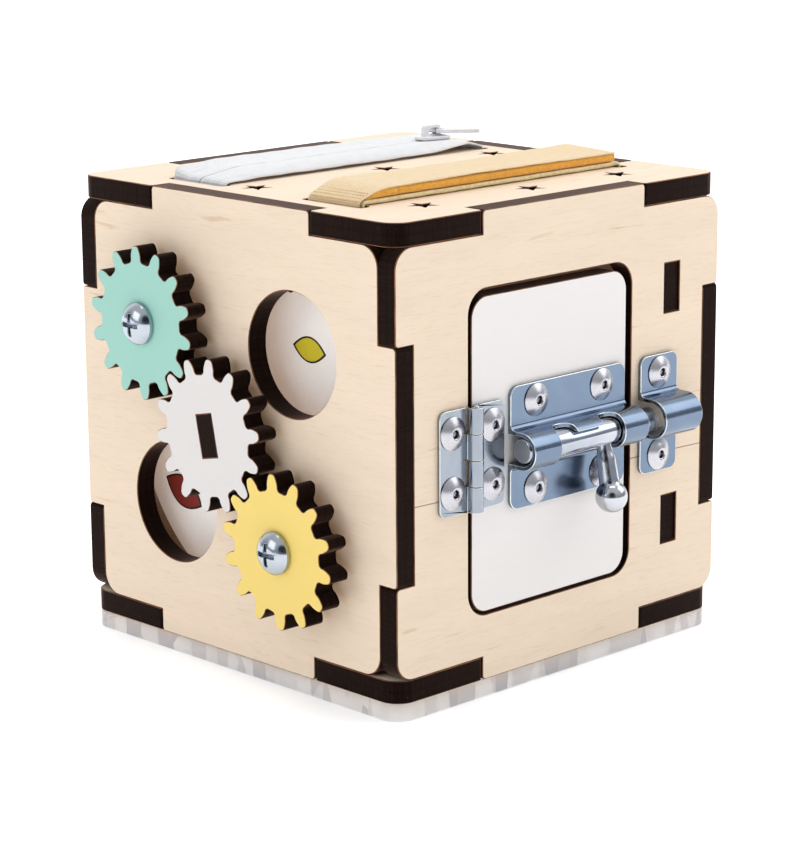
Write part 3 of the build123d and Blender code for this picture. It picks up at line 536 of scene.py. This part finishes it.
def rounded_route(corners, radii):
    """Straight runs joined by arcs tangent to both, sampled at an even step along the whole length."""
    corners = np.asarray(corners, float)
    runs = [corners[:1]]
    for before, corner, after, radius in zip(corners, corners[1:], corners[2:], radii):
        first = (corner - before) / np.linalg.norm(corner - before)
        then = (after - corner) / np.linalg.norm(after - corner)
        turn = np.arctan2(first[0] * then[1] - first[1] * then[0], first @ then)
        start = corner - first * radius * np.tan(abs(turn) / 2)
        normal = np.sign(turn) * np.array([-first[1], first[0]])
        swing = np.linspace(0, abs(turn), 16)[:, None]
        runs.append(start + radius * (np.sin(swing) * first + (1 - np.cos(swing)) * normal))
    path = np.concatenate([*runs, corners[-1:]])
    length = np.concatenate([[0], np.cumsum(np.linalg.norm(np.diff(path, axis=0), axis=1))])
    even = np.linspace(0, length[-1], int(length[-1] / TAPE_STEP) + 1)
    return np.stack([np.interp(even, length, path[:, k]) for k in (0, 1)], -1), even


def route_normals(route):
    """Directions square to a route, one row for each of its points."""
    tangent = np.gradient(route, axis=0)
    tangent /= np.linalg.norm(tangent, axis=1, keepdims=True)
    return np.stack([-tangent[:, 1], tangent[:, 0]], -1)


def flat_section(columns):
    """Places across a flat section, from -1 to 1 and back, and their sides: 1 above and -1 below."""
    across = np.linspace(-1, 1, columns)
    return np.concatenate([across, across[::-1]]), np.repeat([1.0, -1.0], columns)


def capped_rows(count):
    """Rows whose first and last stand twice, and their share of the thickness, none at the doubles."""
    return np.pad(np.arange(count), 1, "edge"), np.pad(np.ones(count), 1)[:, None]


def band(name, route, along, sides, thickness, material, lift=None, ripple=0.0, selvedge=0.4):
    """Woven band: the route in XZ carried across Y, thinner towards its selvedges, with square ends.

    point = route + normal * (half thickness * (s + (1 - s) * sqrt(1 - a^6)) + ripple * waves), a from
    -1 to 1 across and s the selvedge's share of the thickness; a lift of its own raises every point.
    """
    loop, side = flat_section(28)
    rows, thick = capped_rows(len(route))
    normal = route_normals(route)[rows]
    route, along = route[rows], along[rows, None]
    half = thickness / 2 * (selvedge + (1 - selvedge) * np.sqrt(1 - loop ** 6))
    wave = ripple * np.sin(along * 410 + 3 * loop) * np.sin(along * 173) * np.abs(loop) ** 3
    out = thick * half * side + wave
    x = route[:, :1] + normal[:, :1] * out
    y = np.broadcast_to((sides[0] + sides[1]) / 2 + (sides[1] - sides[0]) / 2 * loop, out.shape)
    z = route[:, 1:] + normal[:, 1:] * out
    if lift:
        z = z + lift(route[:, :1], route[:, 1:], y)
    weave = np.stack([np.broadcast_to(along, y.shape), y, np.zeros(y.shape)], -1)
    faces = grid_faces(len(rows), len(loop))
    return surface(name, np.stack([x, y, z], -1), faces, [material], weave=weave)


def slab(name, x, low, high, sides, material, seed):
    """Brushed slab over x, roughened by smoothed noise, with square ends.

    z = middle + half height * (0.6 + 0.4 * sqrt(1 - a^10)) + noise, a from -1 to 1 across
    """
    rough, ragged = 0.08 * MM, 0.008
    loop, side = flat_section(40)
    rows, thick = capped_rows(len(x))
    x, low, high = x[rows, None], low[rows, None], high[rows, None]
    tuft = np.random.default_rng(seed).uniform(-1, 1, (len(rows), len(loop)))
    tuft[1:-1] = (tuft[:-2] + 2 * tuft[1:-1] + tuft[2:]) / 4
    swell = side * (high - low) / 2 * (0.6 + 0.4 * np.sqrt(1 - loop ** 10)) + rough * tuft
    z = (low + high) / 2 + thick * swell
    y = (sides[0] + sides[1]) / 2 + (sides[1] - sides[0]) / 2 * loop * (1 - ragged * np.abs(tuft))
    points = np.stack([np.broadcast_to(x, z.shape), y, z], -1)
    return surface(name, points, grid_faces(len(rows), len(loop)), [material])


def fibres(name, roots, leans, lengths, width, material):
    """Loose fibres: strips root + lean * length * t, bent down by t squared and narrowing to the tip."""
    t = np.array([0.0, 0.5, 1.0])[None, :, None, None]
    side = np.cross(leans, (0.0, 0.0, 1.0))
    side /= np.linalg.norm(side, axis=1, keepdims=True) + 1e-9
    edge = np.array([-0.5, 0.5])[None, None, :, None] * width * (1 - 0.7 * t)
    lengths = lengths[:, None, None, None]
    points = roots[:, None, None] + leans[:, None, None] * lengths * t + side[:, None, None] * edge
    points = points - np.array([0, 0, 0.35]) * lengths * t ** 2
    faces = repeated(np.array([[0, 1, 3, 2], [2, 3, 5, 4]]), len(roots), 6)
    mesh = bpy.data.meshes.new(name)
    mesh.from_pydata(points.reshape(-1, 3).tolist(), [], faces.tolist())
    mesh.materials.append(material)
    return show(name, mesh)


def corner_places(node, radius, y):
    """Centres of like round pieces that fill the corners of a CAD node's box on the door face."""
    low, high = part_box(node)
    xs = np.unique(np.round([low.x + radius, high.x - radius], 5))
    zs = np.unique(np.round([low.z + radius, high.z - radius], 5))
    x, z = np.meshgrid(xs, zs)
    return np.stack([x.ravel(), np.full(x.size, y), z.ravel()], -1)


def cut_steel():
    """Finish of the rounded edges of the pressed plates."""
    return metal("bright cut edge of sheet steel", "#EDEBE2", "#D5DAD8", 0.2, 0.3, "x")


# Operators

class CUBE_OT_make_base(bpy.types.Operator):
    """Clear acrylic base"""
    bl_idname = "cube.make_base"
    bl_label = "Make base"

    def execute(self, context):
        acrylic = clear_acrylic("clear cast acrylic")
        made = dressed("base_plate", acrylic, context.scene.cube_sizes.acrylic_edge)
        # A film of air parts the sheet from the wood on it.
        film = 0.04 * MM
        points = coordinates(made.data)
        points[:, 2] = np.minimum(points[:, 2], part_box("base_plate")[1].z - film)
        made.data.vertices.foreach_set("co", points.ravel())
        return {"FINISHED"}


class CUBE_OT_make_case(bpy.types.Operator):
    """Birch plywood case with charred edges"""
    bl_idname = "cube.make_case"
    bl_label = "Make case"

    def execute(self, context):
        colours, width = context.scene.cube_colours, context.scene.cube_sizes.rim
        along_x = birch_veneer("birch veneer, grain along x", colours.birch, "x")
        along_y = birch_veneer("birch veneer, grain along y", colours.birch, "y")
        seam_height, seam_slope = 57.4 * MM, -0.0245
        seamed = birch_veneer("birch veneer with a seam", colours.birch, "x", (seam_height, seam_slope))
        rows = [
            ("bottom_panel", 2, -1, along_x), ("top_panel", 2, 1, along_x), ("gear_panel", 0, -1, along_y),
            ("right_panel", 0, 1, along_y), ("door_panel", 1, -1, seamed), ("back_panel", 1, 1, along_x),
            ("inner_wall", 0, -1, along_y),
        ]
        for node, thin, outward, face in rows:
            plywood(node, thin, outward, width, face)
        return {"FINISHED"}


class CUBE_OT_make_door(bpy.types.Operator):
    """White door leaf"""
    bl_idname = "cube.make_door"
    bl_label = "Make door"

    def execute(self, context):
        colours = context.scene.cube_colours
        bare = birch_veneer("birch veneer, grain along x", colours.birch, "x")
        coat = lacquer("white lacquer on plywood", colours.white, "x")
        plywood("door", 1, -1, context.scene.cube_sizes.rim, coat, bare)
        return {"FINISHED"}


class CUBE_OT_make_gears(bpy.types.Operator):
    """Three lacquered gears, the key through the middle one and the rings behind them"""
    bl_idname = "cube.make_gears"
    bl_label = "Make gears"

    def execute(self, context):
        colours, width = context.scene.cube_colours, context.scene.cube_sizes.rim
        bare = birch_veneer("birch veneer, grain along y", colours.birch, "y")
        # Painted shade: the middle gear's white is the door's lacquer darkened to 0.88, since the gear's
        # face gets more light than the door.
        shaded_white = [0.88 * part for part in colours.white]
        coats = {"mint_gear": ("mint", colours.mint), "white_gear": ("thin white", shaded_white),
                 "yellow_gear": ("yellow", colours.yellow)}
        for node, (word, colour) in coats.items():
            coat = lacquer(word + " lacquer on gear plywood", colour, "y")
            plywood(node, 0, -1, 0.7 * width, coat, bare)
        plywood("gear_key", 0, -1, 0.5 * width)
        plywood("gear_spacers", 0, -1, 0.5 * width, bare)
        return {"FINISHED"}


class CUBE_OT_make_disc(bpy.types.Operator):
    """White disc behind the windows, with two rings of simple printed motifs"""
    bl_idname = "cube.make_disc"
    bl_label = "Make disc"

    def execute(self, context):
        colours, size = context.scene.cube_colours, context.scene.cube_sizes.motif
        board = ink("white printed board", "#FBF6F2", 0.16)
        plywood("picture_disc", 0, -1, 0.1 * MM, board, board, board)
        line = ink("dark printed line", "#1C1714")
        yellow = ink("yellow printed ink", colours.ink_yellow)
        red = ink("red-brown printed ink", colours.ink_red)
        inner, outer = 6, 8
        turn = np.concatenate([128 + 360 / inner * np.arange(inner), -36 + 360 / outer * np.arange(outer)])
        ring = np.repeat([30.0, 45.0], [inner, outer]) * MM
        size = np.repeat([0.78, 1.0], [inner, outer]) * size
        number = np.arange(inner + outer)
        places = np.stack([radians(1) * turn, ring, size, number % 2 == 0], -1)
        reddish = np.isin(number % 4, (1, 2))
        film, line_width = 0.03 * MM, 0.8 * MM
        self.printed("disc_outlines", places, film, line)
        places[:, 2] -= line_width
        self.printed("disc_red_fills", places[reddish], 2 * film, red)
        self.printed("disc_yellow_fills", places[~reddish], 2 * film, yellow)
        return {"FINISHED"}

    def printed(self, name, places, off, material):
        """Flat prints a little off the disc's face, stars and leaves by turns, filled from their centres.

        A star has the radius 0.78 + 0.22 cos 5t; a leaf is 1.15 cos t long and 0.63 sin t |sin t| wide.
        """
        low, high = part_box("picture_disc")
        centre = (low + high) / 2
        t = np.linspace(0, 2 * pi, 72, endpoint=False)
        star = (0.78 + 0.22 * np.cos(5 * t)) * np.stack([np.cos(t), np.sin(t)])
        leaf = 1.15 * np.stack([np.cos(t), 0.55 * np.sin(t) * np.abs(np.sin(t))])
        share = np.linspace(0, 1, 4)[:, None]
        turn, ring, size, leafy = (column[:, None, None] for column in places.T)
        motif = np.where(leafy[..., None] > 0.5, leaf[:, None], star[:, None]) * share
        u, v = size * motif[:, 0], size * motif[:, 1]
        lean = turn + 1
        y = centre.y + ring * np.cos(turn) + np.cos(lean) * u - np.sin(lean) * v
        z = centre.z + ring * np.sin(turn) + np.sin(lean) * u + np.cos(lean) * v
        points = np.stack([np.full(y.shape, low.x - off), y, z], -1)
        faces = repeated(grid_faces(len(share), len(t)), len(places), len(share) * len(t))
        made = surface(name, points, faces, [material], closed=False)
        ride_along(made, "white_train")


class CUBE_OT_make_screws(bpy.types.Operator):
    """Pan-head screws of the outer gears with their washers and nuts"""
    bl_idname = "cube.make_screws"
    bl_label = "Make screws"

    def execute(self, context):
        bright = metal("zinc-plated screw steel", "#A7ADB6", "#BEC6CF", 0.15, 0.22, "x")
        for node in ("gear_screws", "gear_washers", "gear_nuts"):
            dressed(node, bright, 0.12 * MM)
        return {"FINISHED"}


class CUBE_OT_make_hinge(bpy.types.Operator):
    """Butt hinge: two pressed leaves and a pin"""
    bl_idname = "cube.make_hinge"
    bl_label = "Make hinge"

    def execute(self, context):
        colours, sizes = context.scene.cube_colours, context.scene.cube_sizes
        zinc = metal("blue zinc-plated hinge steel", "#868E9A", "#A2A9B2", 0.15, 0.2, "x")
        for node in ("hinge_leaf_panel", "hinge_leaf_door"):
            dressed(node, zinc, 0.8 * sizes.sheet_edge, cut_steel())
        low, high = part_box("hinge_pin")
        radius, length, chamfer = (high.x - low.x) / 2, high.z - low.z, 0.25 * MM
        end = np.array([(0, 0), (0.7 * radius, 0), (radius, chamfer)])
        profile = np.concatenate([end, (end * (1, -1) + (0, length))[::-1]])
        foot = [((low.x + high.x) / 2, (low.y + high.y) / 2, low.z)]
        drawn = metal("bright drawn steel", colours.bright, "#9AA2B0", 0.14, 0.24, "z")
        stand_for(turned("hinge_pin_turned", profile, foot, (0, 0, 1), 32, drawn), "hinge_pin")
        return {"FINISHED"}


class CUBE_OT_make_rivets(bpy.types.Operator):
    """Blind rivets: a flat cone for a head, with the bore and the broken end of the mandrel"""
    bl_idname = "cube.make_rivets"
    bl_label = "Make rivets"

    def execute(self, context):
        sizes = context.scene.cube_sizes
        bright = metal("tumbled rivet aluminium", "#B2B1B8", "#CDCCD1", 0.24, 0.32, "y")
        dull = metal("broken steel mandrel", "#77767C", "#B5B3B8", 0.25, 0.4, "y")
        bore, height = sizes.rivet_hole / 2, sizes.rivet_height
        head, rim, edge = 4.6 * MM, 0.3 * MM, 0.1 * MM
        shank, bulb, bulb_length, bulb_slope = 2.4 * MM, 2.9 * MM, 3 * MM, 0.6 * MM
        lip, depth = bore + 0.7 * MM, 1.2 * MM
        r = np.linspace(head, lip, 14)
        rise = np.clip((head - r) / (head - lip), 0, 1)
        cone = np.stack([r, rim + (height - rim) * (0.35 * np.sin(rise * pi / 2) + 0.65 * rise)], -1)
        inside = [(lip - 0.15 * MM, height), (bore + 0.2 * MM, height - 0.05 * MM),
                  (bore, height - 0.25 * MM), (bore, -depth), (0, -depth)]
        stem = [(0.8 * bore, 0.1 * MM - depth), (0.8 * bore, 0.5 * MM), (0.5 * bore, 0.85 * MM),
                (0, 0.75 * MM)]
        for node in ("hinge_rivets_panel", "hinge_rivets_door", "bolt_rivets", "keeper_rivets"):
            low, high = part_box(node)
            seat = low.y + height
            tail = seat - high.y
            under = [(0, tail), (0.8 * bulb, tail), (bulb, tail + bulb_slope),
                     (bulb, tail + bulb_length - bulb_slope), (shank, tail + bulb_length), (shank, 0),
                     (head - edge, 0), (head, edge)]
            places = corner_places(node, head, seat)
            profile = np.concatenate([under, cone, inside])
            made = turned(node + "_turned", profile, places, (0, -1, 0), 40, bright)
            broken = turned(node + "_mandrels", stem, places, (0, -1, 0), 24, dull)
            ride_along(broken, BODY_OF[node])
            made.data.set_sharp_from_angle(angle=radians(40))
            stand_for(made, node)
        return {"FINISHED"}


class CUBE_OT_make_bolt(bpy.types.Operator):
    """Pressed bolt housing and keeper, the rod and its ball-ended knob"""
    bl_idname = "cube.make_bolt"
    bl_label = "Make bolt"

    def execute(self, context):
        colours, sizes = context.scene.cube_colours, context.scene.cube_sizes
        zinc = metal("blue zinc-plated sheet steel", colours.zinc, "#78899C", 0.17, 0.22, "x")
        for node in ("bolt_housing", "bolt_keeper"):
            dressed(node, zinc, sizes.sheet_edge, cut_steel())
        low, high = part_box("bolt_rod")
        axis_y, axis_z = (low.y + high.y) / 2, (low.z + high.z) / 2
        self.rod(colours, low.x, axis_y, axis_z, (high.z - low.z) / 2, high.x - low.x)
        self.knob(colours, axis_y, axis_z)
        return {"FINISHED"}

    def rod(self, colours, x, y, z, radius, length):
        """Drawn rod with sloped ends, whose flat faces show the saw."""
        drawn = metal("bright drawn rod", colours.bright, "#9AA2B0", 0.1, 0.2, "x")
        sawn = metal("sawn steel", "#8E939B", "#B3B6BA", 0.45, 0.6, "z")
        slope = 0.8 * MM
        end = np.array([(0, 0), (radius - 1.05 * slope, 0), (radius - 0.9 * slope, 0.05 * slope),
                        (radius - 0.1 * slope, 0.9 * slope), (radius, 1.1 * slope)])
        profile = np.concatenate([end, (end * (1, -1) + (0, length))[::-1]])
        made = turned("bolt_rod_turned", profile, [(x, y, z)], (1, 0, 0), 64, drawn, sawn)
        ends = np.abs(face_normals(made.data)[:, 0]) > 0.98
        made.data.polygons.foreach_set("material_index", ends.astype(np.int32))
        made.data.set_sharp_from_angle(angle=radians(50))
        stand_for(made, "bolt_rod")

    def knob(self, colours, y, z):
        """Knob that leans out from the rod's axis: a root in the rod, a shoulder, a neck and a ball."""
        cast = metal("bright cast knob", colours.bright, "#B4B8C0", 0.12, 0.22, "z")
        low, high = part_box("bolt_knob")
        ball, reach, lean = 4.55 * MM, 18.2 * MM, radians(12)
        root, root_end, shoulder, neck = 2.2 * MM, 5.4 * MM, 7.2 * MM, 2.95 * MM
        start = np.arcsin(neck / ball)
        rise = np.linspace(1 * MM, reach - ball * np.cos(start), 16)[:-1]
        radius = np.interp(rise, (root_end, shoulder, rise[-1]), (root, 0.92 * neck, 0.97 * neck))
        swing = np.linspace(start, pi, 20)
        cap = np.stack([ball * np.sin(swing), reach - ball * np.cos(swing)], -1)
        profile = np.concatenate([[(0, rise[0])], np.stack([radius, rise], -1), cap])
        axis = (0, -np.sin(lean), -np.cos(lean))
        foot = [((low.x + high.x) / 2, y, z)]
        stand_for(turned("bolt_knob_turned", profile, foot, axis, 48, cast), "bolt_knob")


class CUBE_OT_make_zipper(bpy.types.Operator):
    """White zipper: two woven tapes, rows of teeth, slider and pull"""
    bl_idname = "cube.make_zipper"
    bl_label = "Make zipper"

    # Millimetres along X, and how far an edge of the tapes bends there.
    BACK_RISE = ((-51, -46, -38, 25, 44, 52), (2.0, 1.5, 1.1, 0.8, 0.2, 0))
    FRONT_FALL = ((-50, -44, -36, 30, 46), (0.2, 0.9, 1.6, 1.7, 0.2))

    def execute(self, context):
        cloth = woven("white polyester zipper tape", context.scene.cube_colours.tape, 0.9, 0.75, 0.2)
        thickness, closer = 0.7 * MM, 0.15 * MM
        for node, grow in (("zipper_tape_front", (0, closer)), ("zipper_tape_back", (-closer, 0))):
            low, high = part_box(node)
            route, along = self.route(low, high, thickness / 2)
            sides = (low.y + grow[0], high.y + grow[1])
            tape = band(node + "_woven", route, along, sides, thickness, cloth, self.slack, 0.1 * MM)
            stand_for(tape, node)
        nylon = enamel("white moulded nylon", "#F2F3F6", 0.4)
        for node in ("zipper_coil_front", "zipper_coil_back"):
            dressed(node, nylon, 0.18 * MM)
        coat = enamel("white baked enamel", "#F4F4F8", 0.28)
        for node in ("zipper_slider", "zipper_pull"):
            dressed(node, coat, 0.22 * MM)
        return {"FINISHED"}

    def route(self, low, high, half):
        """Middle of a tape: tail, left slot, long rise, level stretch, fall, right slot and tail."""
        left, right = low.x + half, high.x - RIGHT_TAIL
        under, level, mouth = low.z + half, high.z - half, TOP_Z + 0.9 * MM
        rise_run, fall_run, exit_bend = 13 * MM, 6.4 * MM, 1.6 * MM
        corners = [
            (left + LEFT_TAIL, under), (left, under), (left, mouth), (left + rise_run, level),
            (right - fall_run, level), (right, mouth), (right, under), (high.x, under)]
        return rounded_route(corners, (SLOT_BEND, exit_bend, 45 * MM, 9 * MM, exit_bend, SLOT_BEND))

    def slack(self, x, z, y):
        """Slack of the tapes: beside the teeth they bend by the square of the way out, up at the back and
        down in front. Small waves run across them at the left slot."""
        teeth, loose = 4.2 * MM, 7 * MM
        out = np.clip((np.abs(y - ZIP_Y) - teeth) / loose, 0, 1) ** 2
        free = np.clip((z - TOP_Z) / (0.9 * MM), 0, 1)
        rise, fall = (np.interp(x / MM, *table) * MM for table in (self.BACK_RISE, self.FRONT_FALL))
        curl = np.where(y > ZIP_Y, rise, -fall) * out * free
        ruffle = 0.22 * MM * np.sin(y / MM * 2.1) * np.sin(y / MM * 0.83 + 1) * free
        return curl + ruffle * np.interp(x / MM, (-50, -40), (1, 0))


class CUBE_OT_make_strap(bpy.types.Operator):
    """Hook-and-loop strap: looped tape, ribbon with sewn end, golden pile and loose fibres"""
    bl_idname = "cube.make_strap"
    bl_label = "Make strap"

    # Millimetres along X, and how far the ribbon's far edge is above its middle there.
    FAR_EDGE = ((-50, -42, -30, -12, 8, 30, 51), (0, 0.4, 0.25, 0, 0, 0.2, 0.4))

    def execute(self, context):
        colours, sizes = context.scene.cube_colours, context.scene.cube_sizes
        self.lower()
        route, along = self.upper(colours)
        self.sew(route, along, sizes)
        self.pile(looped_pile("golden brushed nylon pile", colours.pile), sizes, route)
        return {"FINISHED"}

    def lower(self):
        """Looped tape, flat on the top panel between its slots."""
        loops = looped_pile("pale brushed nylon loops", "#FFE2AC")
        low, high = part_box("strap_lower")
        thickness, ripple, selvedge = 1.2 * MM, 0.08 * MM, 0.85
        left, right = low.x + thickness / 2, high.x - RIGHT_TAIL
        under, level = low.z + thickness / 2, high.z - thickness / 2
        corners = [(left + LEFT_TAIL, under), (left, under), (left, level), (right, level), (right, under),
                   (high.x, under)]
        route, along = rounded_route(corners, [SLOT_BEND] * 4)
        sides = (low.y, high.y)
        made = band("strap_lower_woven", route, along, sides, thickness, loops, None, ripple, selvedge)
        stand_for(made, "strap_lower")

    def upper(self, colours):
        """Ribbon that comes up at the left slot and lies on the pile."""
        ribbon = woven("golden polyester ribbon", colours.ribbon, 1.1, 0.8, 0.25)
        low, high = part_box("strap_upper_root")[0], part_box("strap_upper_flap")[1]
        thickness, ripple, cad_half, sunk = 0.6 * MM, 0.08 * MM, 0.4 * MM, 0.05 * MM
        left, under, level = low.x + cad_half, low.z + cad_half, high.z - sunk - thickness / 2
        rise_run, mouth = 8.25 * MM, TOP_Z + 1.2 * MM
        corners = [(left + LEFT_TAIL, under), (left, under), (left, mouth), (left + rise_run, level),
                   (high.x, level)]
        route, along = rounded_route(corners, (SLOT_BEND, 1.8 * MM, 14 * MM))
        sides = (low.y, high.y)
        made = band("strap_upper_woven", route, along, sides, thickness, ribbon, self.tilt, ripple)
        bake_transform(made)
        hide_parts("strap_upper_root", "strap_upper_flap")
        return route, along

    def tilt(self, x, z, y):
        """Tilt of the upper strap: its far edge is higher where it comes up and at its free end."""
        low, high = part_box("strap_lower")
        across = (y - (low.y + high.y) / 2) / ((high.y - low.y) / 2)
        return np.interp(x / MM, *self.FAR_EDGE) * MM * across * np.clip((z - TOP_Z) / MM, 0, 1)

    def sew(self, route, along, sizes):
        """Rows of stitches across the strap where it comes up: small spindles along Y on its upper side."""
        thread = enamel("golden sewing thread", "#D9AE66", 0.6)
        low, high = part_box("strap_lower")
        margin, thread_radius, off, past_tail = 1.2 * MM, 0.11 * MM, 0.32 * MM, 15 * MM
        count = int((high.y - low.y - 2 * MM) / sizes.stitch_pitch)
        ys = np.linspace(low.y + margin, high.y - margin, count)
        first = np.argmax((route[:, 1] > TOP_Z + 0.6 * MM) & (along > past_tail))
        rows = first + np.arange(sizes.stitch_rows) * 2
        spots = route[rows] + route_normals(route)[rows] * off
        places = np.stack([
            np.repeat(spots[:, 0], count), np.tile(ys, len(rows)), np.repeat(spots[:, 1], count)], -1)
        t = np.linspace(-1, 1, 6)
        profile = np.stack([thread_radius * np.sqrt(1 - t ** 2), 0.42 * sizes.stitch_pitch * t], -1)
        ride_along(turned("strap_stitches", profile, places, (0, 1, 0), 8, thread), "case")

    def pile(self, golden, sizes, route):
        """Pile under the ribbon, a wedge of it under the fixed end, and fibres at its sides and end."""
        low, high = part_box("strap_upper_pile")
        spread, below, above = 0.5 * MM, 0.18 * MM, 0.2 * MM
        sides = (low.y - spread, high.y + spread)
        x = np.linspace(low.x, high.x, 220)
        bottom, top = np.full(len(x), low.z - below), np.full(len(x), high.z + above)
        stand_for(slab("strap_pile_brushed", x, bottom, top, sides, golden, 7), "strap_upper_pile")
        wedge_start, wedge_bottom = -49.2 * MM, TOP_Z + 1.55 * MM
        under_ribbon, thinnest = 0.25 * MM, 0.1 * MM
        x = np.linspace(wedge_start, low.x, 40)
        on_top = route[:, 1] > TOP_Z
        crest = np.interp(x, route[on_top, 0], route[on_top, 1]) - under_ribbon
        bottom = np.minimum(wedge_bottom, crest - thinnest)
        ride_along(slab("strap_root_pile", x, bottom, crest, sides, golden, 9), "case")
        self.fuzz(golden, sizes, low, high)

    def fuzz(self, golden, sizes, low, high):
        """Golden fibres along both sides of the pile, and pale hooks that fray from the free end."""
        rng = np.random.default_rng(11)
        count = 900
        roots = np.stack([
            rng.uniform(low.x, high.x, count), np.where(rng.random(count) < 0.5, low.y, high.y),
            rng.uniform(low.z + 0.1 * MM, high.z, count)], -1)
        outward = np.sign(roots[:, 1] - (low.y + high.y) / 2)
        leans = np.stack([
            rng.normal(0, 0.6, count), outward * rng.uniform(0.2, 0.7, count),
            rng.normal(0, 0.3, count)], -1)
        lengths = rng.uniform(0.3, 1, count) * sizes.pile_fibre
        made = fibres("strap_pile_fibres", roots, leans, lengths, 0.12 * MM, golden)
        ride_along(made, "strap_flap")
        pale = enamel("pale nylon hooks", "#F3E6D2", 0.6)
        count = 260
        roots = np.stack([
            rng.uniform(high.x - 3 * MM, high.x + 0.4 * MM, count), rng.uniform(low.y, high.y, count),
            rng.uniform(low.z - 0.1 * MM, high.z, count)], -1)
        leans = np.stack([
            rng.uniform(0.1, 0.8, count), rng.normal(0, 0.5, count), rng.normal(-0.1, 0.4, count)], -1)
        lengths = rng.uniform(0.4, 1.3, count) * MM
        made = fibres("strap_end_fibres", roots, leans, lengths, 0.14 * MM, pale)
        ride_along(made, "strap_flap")


class CUBE_OT_make_stage(bpy.types.Operator):
    """Pale floor, soft lights, sky and the camera"""
    bl_idname = "cube.make_stage"
    bl_label = "Make stage"

    # Place and size of each softbox in metres, and its power in watts. All look at the middle of the cube.
    SOFTBOXES = {
        "key softbox": ((-1.7, 0.45, 0.9), 1.1, 5.6),
        "right softbox": ((1.3, -0.9, 1.2), 1.2, 8.5),
        "top softbox": ((0.2, 0.2, 1.9), 1.4, 11.5),
    }
    MIDDLE = Vector((0, 0, 0.07))

    # The camera's place in metres, its directions to the right, up and back, and its focal length in mm.
    CAMERA_PLACE = (-0.56324, -0.578, 0.25262)
    CAMERA_AXES = ((0.71528, -0.69884, -0.0061), (0.16624, 0.16167, 0.97279), (-0.6788, -0.6968, 0.2318))
    CAMERA_LENS = 119.69

    def execute(self, context):
        scene = context.scene
        scene.view_settings.view_transform = "Standard"
        self.floor(scene.cube_colours.floor)
        self.sky(scene)
        for name, (place, size, power) in self.SOFTBOXES.items():
            lamp = bpy.data.lights.new(name, "AREA")
            lamp.size, lamp.energy = size, power
            made = show(name, lamp)
            made.location = place
            made.rotation_euler = (self.MIDDLE - made.location).to_track_quat("-Z", "Y").to_euler()
        camera = bpy.data.cameras.new("camera")
        camera.lens, camera.sensor_width = self.CAMERA_LENS, 36
        camera.clip_start, camera.clip_end = 0.05, 50
        scene.camera = show("camera", camera)
        turn = Matrix(self.CAMERA_AXES).transposed().to_4x4()
        scene.camera.matrix_world = Matrix.Translation(self.CAMERA_PLACE) @ turn
        return {"FINISHED"}

    def floor(self, colour):
        """Floor: a flat disc whose rings widen outwards, a trace above z = 0."""
        t = np.linspace(0, 2 * pi, 64, endpoint=False)
        r = np.array([0, 0.2, 0.6, 2, 7])[:, None]
        points = np.stack([r * np.cos(t), r * np.sin(t), np.full((len(r), len(t)), 0.02 * MM)], -1)
        faces = grid_faces(len(r), len(t))[:, ::-1]
        board = white_board("matt white board", colour)
        surface("floor", points, faces, [board], closed=False)

    def sky(self, scene):
        """Studio round the object: grey-blue to white upwards, a dark card in front, a lit wall behind."""
        scene.world = bpy.data.worlds.new("studio")
        scene.world.use_nodes = True
        scene.world.node_tree.nodes.clear()
        node = partial(add, scene.world.node_tree)
        to_card, to_wall, wall_light = (-0.66, -0.68, 0.32), (0.68, 0.7, 0.2), 1.75
        toward = node("TexCoord").outputs["Generated"]
        axes = node("SeparateXYZ", {0: toward})
        height = node("MapRange", {"Value": axes.outputs[2], "From Max": 0.6})
        tone = node("Mix", {0: height, 6: rgba("#9FA9B8"), 7: rgba("#FFFFFF")})
        ahead = node("VectorMath", {0: toward, 1: to_card}, operation="DOT_PRODUCT")
        card = node("MapRange", {"Value": ahead.outputs["Value"], "From Min": 0.88, "From Max": 0.95})
        shaded = node("Mix", {0: card, 6: tone, 7: rgba("#30343C")})
        behind = node("VectorMath", {0: toward, 1: to_wall}, operation="DOT_PRODUCT")
        wall = node("MapRange", {"Value": behind.outputs["Value"], "From Min": 0.35, "From Max": 0.7})
        walled = node("Mix", {0: wall, 6: shaded, 7: (*[wall_light] * 3, 1)})
        light = node("Background", {"Color": walled, "Strength": 0.7})
        node("OutputWorld", {"Surface": light})


OPERATORS = (
    CUBE_OT_make_stage, CUBE_OT_make_base, CUBE_OT_make_case, CUBE_OT_make_door, CUBE_OT_make_gears,
    CUBE_OT_make_disc, CUBE_OT_make_screws, CUBE_OT_make_hinge, CUBE_OT_make_rivets, CUBE_OT_make_bolt,
    CUBE_OT_make_zipper, CUBE_OT_make_strap)


class CUBE_PT_pieces(bpy.types.Panel):
    """Pieces of the activity cube"""
    bl_label = "Activity cube"
    bl_space_type = "VIEW_3D"
    bl_region_type = "UI"
    bl_category = "Cube"

    def draw(self, context):
        for operator in OPERATORS:
            self.layout.operator(operator.bl_idname)


CLASSES = (CubeSizes, CubeColours, *OPERATORS, CUBE_PT_pieces)


def register():
    for cls in CLASSES:
        bpy.utils.register_class(cls)
    bpy.types.Scene.cube_sizes = PointerProperty(type=CubeSizes)
    bpy.types.Scene.cube_colours = PointerProperty(type=CubeColours)


def unregister():
    del bpy.types.Scene.cube_sizes
    del bpy.types.Scene.cube_colours
    for cls in reversed(CLASSES):
        bpy.utils.unregister_class(cls)


def main():
    register()
    for operator in OPERATORS:
        group, word = operator.bl_idname.split(".")
        getattr(getattr(bpy.ops, group), word)()


if __name__ == "__main__":
    main()
